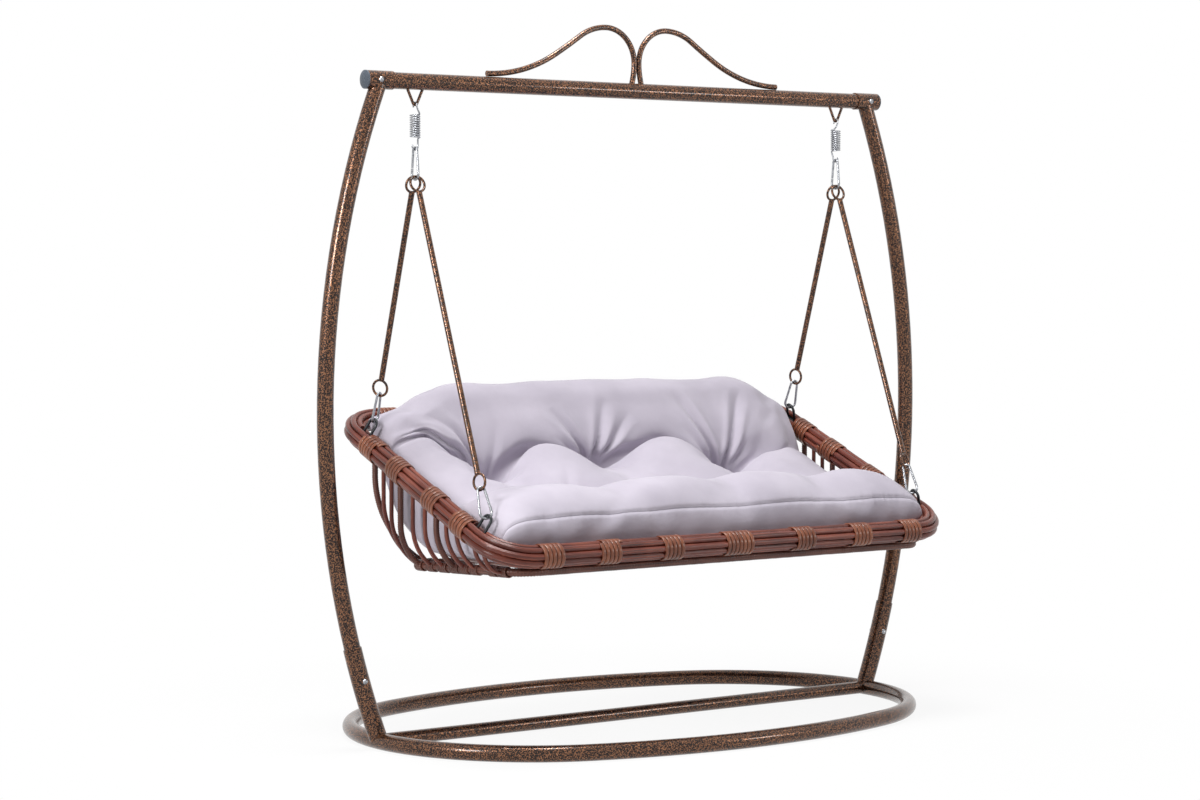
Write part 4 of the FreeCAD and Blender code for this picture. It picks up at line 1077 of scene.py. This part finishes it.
    def edge_counts(self) -> list[int]:
        """Share the rows among the section's edges by their length."""
        corners = np.array(self.corners)
        lengths = np.linalg.norm(np.roll(corners, -1, axis=0) - corners, axis=1)
        lengths[:5] *= self.top_weight
        counts = np.maximum(4, np.round(lengths / lengths.sum() * self.rows)).astype(int)
        return counts.tolist()

    def section(self, across: float, kept: float, risen: float, counts: Sequence[int]) -> Grid:
        """Give one closed section.

        Args:
            across: the section's place across the seat.
            kept: share of the full thickness.
            risen: share of the back's full rise.
            counts: points on each edge.

        Returns:
            Its points as rows of Y and Z.
        """
        corners = np.array(self.corners)
        fold, low = corners[3], corners[8]
        recline = corners[7] - low
        recline /= np.linalg.norm(recline)
        for index in (4, 5, 6, 7):
            corners[index] -= recline * ((corners[index] - fold) @ recline) * (1 - risen)
        corners[3] = fold + recline * self.fold_rise(across)
        middles = (corners + corners[list(self.partners)]) / 2
        drawn = middles + (corners - middles) * kept
        points = []
        for index, count in enumerate(counts):
            start, end = drawn[index], drawn[(index + 1) % len(drawn)]
            along = (end - start) / np.linalg.norm(end - start)
            outward = np.array((-along[1], along[0]))
            share = np.arange(count)[:, None] / count
            bulge = outward * (4 * self.bulges[index] * kept * share * (1 - share))
            points.append(start + (end - start) * share + bulge)
        return np.concatenate(points)

    def shape(self) -> tuple[Grid, Grid]:
        """Give the cushion before it swells, as columns of section points, and each row's run."""
        counts = self.edge_counts()
        even = np.linspace(-1, 1, self.columns)
        across = self.even_share * even + self.crowded_share * np.sin(even * math.pi / 2)
        columns = []
        for share in across:
            reach = abs(share)
            kept = max(self.least_kept, (1 - reach ** self.end_square) ** (1 / self.end_round))
            start, drop = self.left_droop if share < 0 else self.right_droop
            ease = min(1.0, max(0.0, (reach - start) / (1 - start)))
            risen = 1 - drop * (ease * ease * (3 - 2 * ease)) ** 2
            flat = self.section(share * self.half_width, kept, risen, counts)
            columns.append(np.column_stack((np.full(len(flat), share * self.half_width), flat)))
        grid = np.array(columns)
        for _ in range(self.smoothing):
            beside = np.roll(grid, 1, 1) + np.roll(grid, -1, 1)
            grid[:, :, 1:] = 0.5 * grid[:, :, 1:] + 0.25 * beside[:, :, 1:]
        middle = grid[self.columns // 2]
        run = np.concatenate(((0.0,), np.cumsum(np.linalg.norm(np.diff(middle, axis=0), axis=1))))
        places = np.cumsum([0] + counts)
        self.seam_run, self.row_run, self.fold_run = (float(run[places[index]]) for index in (1, 2, 3))
        self.top_run, self.rear_run = float(run[places[5]]), float(run[places[7]])
        grid += self.normals(grid) * self.pillows(grid[:, :, 0], run[None, :])[:, :, None]
        return grid, run

    def fold_rise(self, across: float) -> float:
        """Give how far up the back the fold lies, which arches up between the tufts and at the ends."""
        for left, right, low, high in zip(self.fold_reaches, self.fold_reaches[1:], self.fold_rises,
                                          self.fold_rises[1:]):
            if left <= across <= right:
                return low + (high - low) * (0.5 - 0.5 * math.cos((across - left) / (right - left) * math.pi))
        return 0.0

    def recess(self, run: Grid, dip: Dip) -> Grid:
        """Give how near a row lies to the fold, from 0 to 1, over a dip's reaches."""
        away = self.fold_run - run
        return np.exp(-np.where(away > 0, away / dip.ahead, -away / dip.behind))

    def held(self, across: Grid) -> Grid:
        """Give how firmly the fold is drawn in: fully between the outer tufts, and less towards the ends."""
        ease = np.clip((np.abs(across - self.firm_middle) - self.firm_reach) / self.firm_fade, 0, 1)
        return 1 - self.firm_loss * ease * ease * (3 - 2 * ease)

    def pillows(self, across: Grid, run: Grid) -> Grid:
        """Give the broad dips at the tufts and along the fold, and the fullness between them."""
        firm = self.held(across)
        row = run - self.row_run
        height = -self.fold_dip.depth * firm * self.recess(run, self.fold_dip)
        height -= self.row_dip.depth * firm * np.exp(-(row / self.row_dip.ahead) ** 2)
        dip = self.back_dip
        for place in self.back_tufts:
            height -= dip.depth * np.exp(-((across - place) / dip.across) ** 2) * self.recess(run, dip)
        dip = self.front_dip
        for place in self.front_tufts:
            height -= dip.depth * np.exp(-((across - place) / dip.across) ** 2 - (row / dip.ahead) ** 2)
        back = np.clip((self.fold_run - run) / (self.fold_run - self.row_run), 0, 1)
        pillow = np.sin(math.pi * np.sqrt(back))
        crest = np.exp(-((run - self.seam_run - self.crest_lead) / self.crest_reach) ** 2)
        for places, profile in ((self.pillow_places, pillow), (self.crest_places, crest)):
            for middle, width, rise in places:
                height += rise * np.exp(-((across - middle) / width) ** 2) * profile
        return height

    def swell(self, grid: Grid, run: Grid) -> Grid:
        """Let the cover swell under pressure while its tufts and the sides that rest on the canes hold.

        Args:
            grid: the cushion before it swells.
            run: each row's run from the toe.

        Returns:
            The swollen cushion, no point of which has moved too far.
        """
        piece = self.piece("cushion_cover", grid)
        hold = np.zeros(grid.shape[:2])
        hold[:, (run > self.rear_run) | (run < self.toe_held)] = 1.0
        reach = np.abs(grid[:, :, 0]) / self.half_width
        hold = np.maximum(hold, np.clip((reach - self.end_held) / self.end_fade, 0, 1))
        rows = np.broadcast_to(run, hold.shape)
        for places, level in ((self.back_tufts, self.fold_run), (self.front_tufts, self.row_run)):
            for place in places:
                away = np.hypot(grid[:, :, 0] - place, rows - level)
                hold = np.maximum(hold, np.clip(1.6 - away / self.tuft_held, 0, 1))
        group = piece.vertex_groups.new(name="hold")
        flat = hold.ravel()
        for index in np.nonzero(flat)[0]:
            group.add([int(index)], float(flat[index]), "REPLACE")
        cloth = piece.modifiers.new("cover", "CLOTH")
        settings = cloth.settings
        settings.quality = 6
        settings.mass = 0.25
        settings.tension_stiffness = settings.compression_stiffness = 14.0
        settings.shear_stiffness = 6.0
        settings.bending_stiffness = 0.4
        settings.use_pressure = True
        settings.uniform_pressure_force = self.pressure
        settings.shrink_min = -0.03
        settings.vertex_group_mass = group.name
        settings.effector_weights.gravity = 0.0
        cloth.point_cache.frame_start, cloth.point_cache.frame_end = 1, self.frames
        scene = bpy.context.scene
        for frame in range(1, self.frames + 1):
            scene.frame_set(frame)
        evaluated = piece.evaluated_get(bpy.context.evaluated_depsgraph_get())
        moved = np.empty(grid.size, dtype=np.float32)
        evaluated.data.vertices.foreach_get("co", moved)
        shift = moved.reshape(grid.shape) - grid
        far = np.linalg.norm(shift, axis=2, keepdims=True)
        shift *= np.minimum(1.0, self.most_move / np.maximum(far, 1e-9))
        for _ in range(self.calming):
            shift = 0.5 * shift + 0.25 * (np.roll(shift, 1, 1) + np.roll(shift, -1, 1))
            shift[1:-1] = 0.5 * shift[1:-1] + 0.25 * (shift[2:] + shift[:-2])
        bpy.data.objects.remove(piece)
        scene.frame_set(1)
        LOG.info("cover swelled by up to %.1f mm", float(np.linalg.norm(shift, axis=2).max()) * 1000)
        return grid + shift

    def halved(self, points: Grid) -> Grid:
        """Put a point between each two rows, on a smooth curve through four of them."""
        before, after = np.roll(points, 1, 0), np.roll(points, -1, 0)
        between = (9 * (points + after) - before - np.roll(points, -2, 0)) / 16
        return np.stack((points, between), 1).reshape(-1, *points.shape[1:])

    def finer(self, grid: Grid, run: Grid) -> tuple[Grid, Grid]:
        """Halve the mesh along and across, on smooth curves through its points."""
        grid = np.swapaxes(self.halved(np.swapaxes(grid, 0, 1)), 0, 1)
        padded = np.concatenate((2 * grid[:1] - grid[1:2], grid, 2 * grid[-1:] - grid[-2:-1]))
        grid = self.halved(padded)[2:-3]
        closing = float(np.linalg.norm(grid[len(grid) // 2, 0] - grid[len(grid) // 2, -2]))
        steps = np.append(run, run[-1] + closing)
        return grid, np.stack((steps[:-1], (steps[:-1] + steps[1:]) / 2), 1).ravel()

    def normals(self, grid: Grid) -> Grid:
        """Give the outward direction at each point."""
        along = np.gradient(grid, axis=0)
        around = np.roll(grid, -1, 1) - np.roll(grid, 1, 1)
        outward = np.cross(along, around)
        return outward / np.maximum(np.linalg.norm(outward, axis=2, keepdims=True), 1e-12)

    def fold(self, grid: Grid, run: Grid) -> Grid:
        """Press in the creases at the tufts, the fold line and the sewn seam."""
        across = grid[:, :, 0]
        rows = np.broadcast_to(run, across.shape)
        height = -self.fold_press.depth * self.held(across) * self.recess(rows, self.fold_press)
        tufts = [(place, self.fold_run) for place in self.back_tufts]
        tufts += [(place, self.row_run) for place in self.front_tufts]
        for crease in self.creases:
            place, level = tufts[crease.tuft]
            height += self.crease(across - place, rows - level, crease)
        presses = [self.back_press] * len(self.back_tufts) + [self.front_press] * len(self.front_tufts)
        for (place, level), press in zip(tufts, presses):
            height -= press.depth * np.exp(-np.hypot(across - place, rows - level) / press.across)
        seam = rows - self.seam_run
        height -= self.seam_press.depth * np.exp(-(seam / self.seam_press.ahead) ** 2)
        height += self.pucker.depth * self.gathers(across) * np.exp(-(seam / self.pucker.ahead) ** 2)
        ease = np.clip((rows - self.slack_start) / self.slack_fade, 0, 1)
        height += self.slack * self.waves(across, rows) * (rows < self.top_run) * ease
        return grid + self.normals(grid) * height[:, :, None]

    def gathers(self, across: Grid) -> Grid:
        """Give the uneven gathers along the seam, from -1 to 1."""
        return np.sin(across * 190 + 2.2 * np.sin(across * 23)) * np.sin(across * 71 + 0.8)

    def waves(self, across: Grid, rows: Grid) -> Grid:
        """Give the shallow waves of slack cloth."""
        broad = np.sin(across * 17 + 3 * rows) * np.sin(rows * 14 + 1.3)
        return broad + 0.6 * np.sin(across * 31 - rows * 12 + 0.4)

    def crease(self, across: Grid, along: Grid, crease: Crease) -> Grid:
        """Give one crease's height over places measured from its tuft."""
        turn = math.radians(crease.angle)
        ahead = (across * math.cos(turn) + along * math.sin(turn)) / crease.length
        aside = along * math.cos(turn) - across * math.sin(turn) - crease.bend * ahead ** 2
        width = self.crease_width + self.crease_spread * np.clip(ahead, 0, 1)
        fade = np.clip(1 - ahead, 0, 1) ** 0.9 * np.clip(ahead / self.crease_start, 0, 1) ** 0.7
        share = np.abs(aside) / width
        section = self.crease_rim * np.exp(-((share - 2.0) ** 2) / 0.9) - np.exp(-share ** 1.2)
        return self.crease_gain * crease.depth * fade * section

    def piece(self, name: str, grid: Grid) -> Piece:
        """Make a closed mesh object of a grid of section points."""
        columns, rows = grid.shape[:2]
        first = np.arange(columns - 1)[:, None] * rows
        row = np.arange(rows)[None, :]
        after = (row + 1) % rows
        quads = np.stack((first + row, first + after, first + rows + after, first + rows + row), 2)
        faces = quads.reshape(-1, 4)[:, ::-1].tolist()
        faces.append(list(range(rows)))
        faces.append(list(range(columns * rows - 1, (columns - 1) * rows - 1, -1)))
        mesh = bpy.data.meshes.new(name)
        mesh.from_pydata(grid.reshape(-1, 3).tolist(), [], faces)
        return linked(name, mesh)


def seen_rays(graph: Graph) -> Socket:
    """Give 1 for the rays that look at the background: from the camera, off a gloss or through glass."""
    path = graph.add("ShaderNodeLightPath").outputs
    total = path["Is Camera Ray"]
    for name in ("Is Glossy Ray", "Is Transmission Ray"):
        total = graph.math("MAXIMUM", total, path[name])
    return total


@dataclass(frozen=True)
class Studio:
    """The plain floor, soft light and the camera."""

    eye: tuple = (-4.967, -6.671, 1.291)
    heading: tuple = (0.5866, 0.8087, -0.0445)
    lens: float = 87.3
    aim: tuple = (0.0, 0.0, 0.9)
    lamps: tuple = (("overhead", (-0.7, -0.5, 5.3), 1.8, 265.0), ("key", (-5.2, -1.2, 2.8), 1.3, 150.0),
                    ("fill", (3.9, -5.2, 2.0), 0.95, 46.0))
    ambient: float = 0.15
    floor_reach: float = 30.0
    floor_grey: float = 0.80
    floor_fade: tuple = (0.9, 1.9)
    floor_white: float = 0.92

    def build(self) -> None:
        """Set up the floor, world, lamps and camera."""
        scene = bpy.context.scene
        scene.view_settings.view_transform = "Standard"
        self.build_floor()
        self.build_world(scene)
        for lamp in self.lamps:
            self.lamp(*lamp)
        camera = bpy.data.objects.new("camera", bpy.data.cameras.new("camera"))
        camera.data.lens = self.lens
        camera.data.sensor_width = 36.0
        camera.data.clip_end = 200.0
        camera.location = self.eye
        camera.rotation_euler = Vector(self.heading).to_track_quat("-Z", "Y").to_euler()
        scene.collection.objects.link(camera)
        scene.camera = camera

    def lamp(self, name: str, place: tuple, size: float, power: float) -> None:
        """Add a soft square lamp that faces the swing's middle."""
        light = bpy.data.lights.new(name, "AREA")
        light.size = size
        light.energy = power
        piece = bpy.data.objects.new(name, light)
        piece.location = place
        piece.rotation_euler = (Vector(self.aim) - Vector(place)).to_track_quat("-Z", "Y").to_euler()
        bpy.context.scene.collection.objects.link(piece)

    def build_world(self, scene: bpy.types.Scene) -> None:
        """Light softly from all round, and show white where the camera or a gloss looks past the swing."""
        world = bpy.data.worlds.new("studio")
        scene.world = world
        world.use_nodes = True
        graph = Graph(world.node_tree)
        background = graph.tree.nodes["Background"].inputs
        level = graph.add("ShaderNodeMapRange", Value=seen_rays(graph), To_Min=self.ambient, To_Max=1.0)
        graph.feed(background["Color"], (1.0, 1.0, 1.0, 1.0))
        graph.feed(background["Strength"], level.outputs[0])

    def build_floor(self) -> None:
        """Lay a wide pale floor."""
        reach = self.floor_reach
        mesh = bpy.data.meshes.new("floor")
        corners = [(-reach, -reach, 0), (reach, -reach, 0), (reach, reach, 0), (-reach, reach, 0)]
        mesh.from_pydata(corners, [], [(0, 1, 2, 3)])
        floor = bpy.data.objects.new("floor", mesh)
        bpy.context.scene.collection.objects.link(floor)
        shader = Shader("pale_floor")
        shader.dress(Base_Color=(*[self.floor_grey] * 3, 1.0), Roughness=0.9, Specular_IOR_Level=0.1)
        length = shader.add("ShaderNodeVectorMath", {"operation": "LENGTH"}, n0=shader.objects())
        near, wide = self.floor_fade
        far = shader.add("ShaderNodeMapRange", {"interpolation_type": "SMOOTHSTEP"},
                         Value=length.outputs["Value"], From_Min=near, From_Max=wide,
                         To_Min=self.floor_white).outputs[0]
        white = shader.add("ShaderNodeEmission", Color=(1.0, 1.0, 1.0, 1.0), Strength=1.0)
        share = shader.times(far, seen_rays(shader))
        blend = shader.add("ShaderNodeMixShader", Fac=share, n1=shader.surface.outputs[0],
                           n2=white.outputs[0])
        shader.feed(shader.tree.nodes["Material Output"].inputs["Surface"], blend.outputs[0])
        mesh.materials.append(shader.material)


KEPT_WORDS = ("base_", "socket", "upright", "sleeve", "top_bar", "scroll", "hanger", "end_cap", "bolts",
              "nuts", "hook", "gate", "_rod", "seat_eyes", "rim_core")


def main() -> None:
    """Load the frame and build each sub-assembly."""
    logging.basicConfig(level=logging.INFO, format="%(message)s")
    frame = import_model()
    wardrobe = Wardrobe()
    Studio().build()
    strands = strand_tree()
    kept = [name for name in frame["nodes"] if any(word in name for word in KEPT_WORDS)]
    Stand(wardrobe, frame["nodes"]).dress(kept)
    Springs(wardrobe, strands).build()
    Basket(wardrobe, strands, winding_tree()).build()
    Cushion(wardrobe).build()


if __name__ == "__main__":
    main()
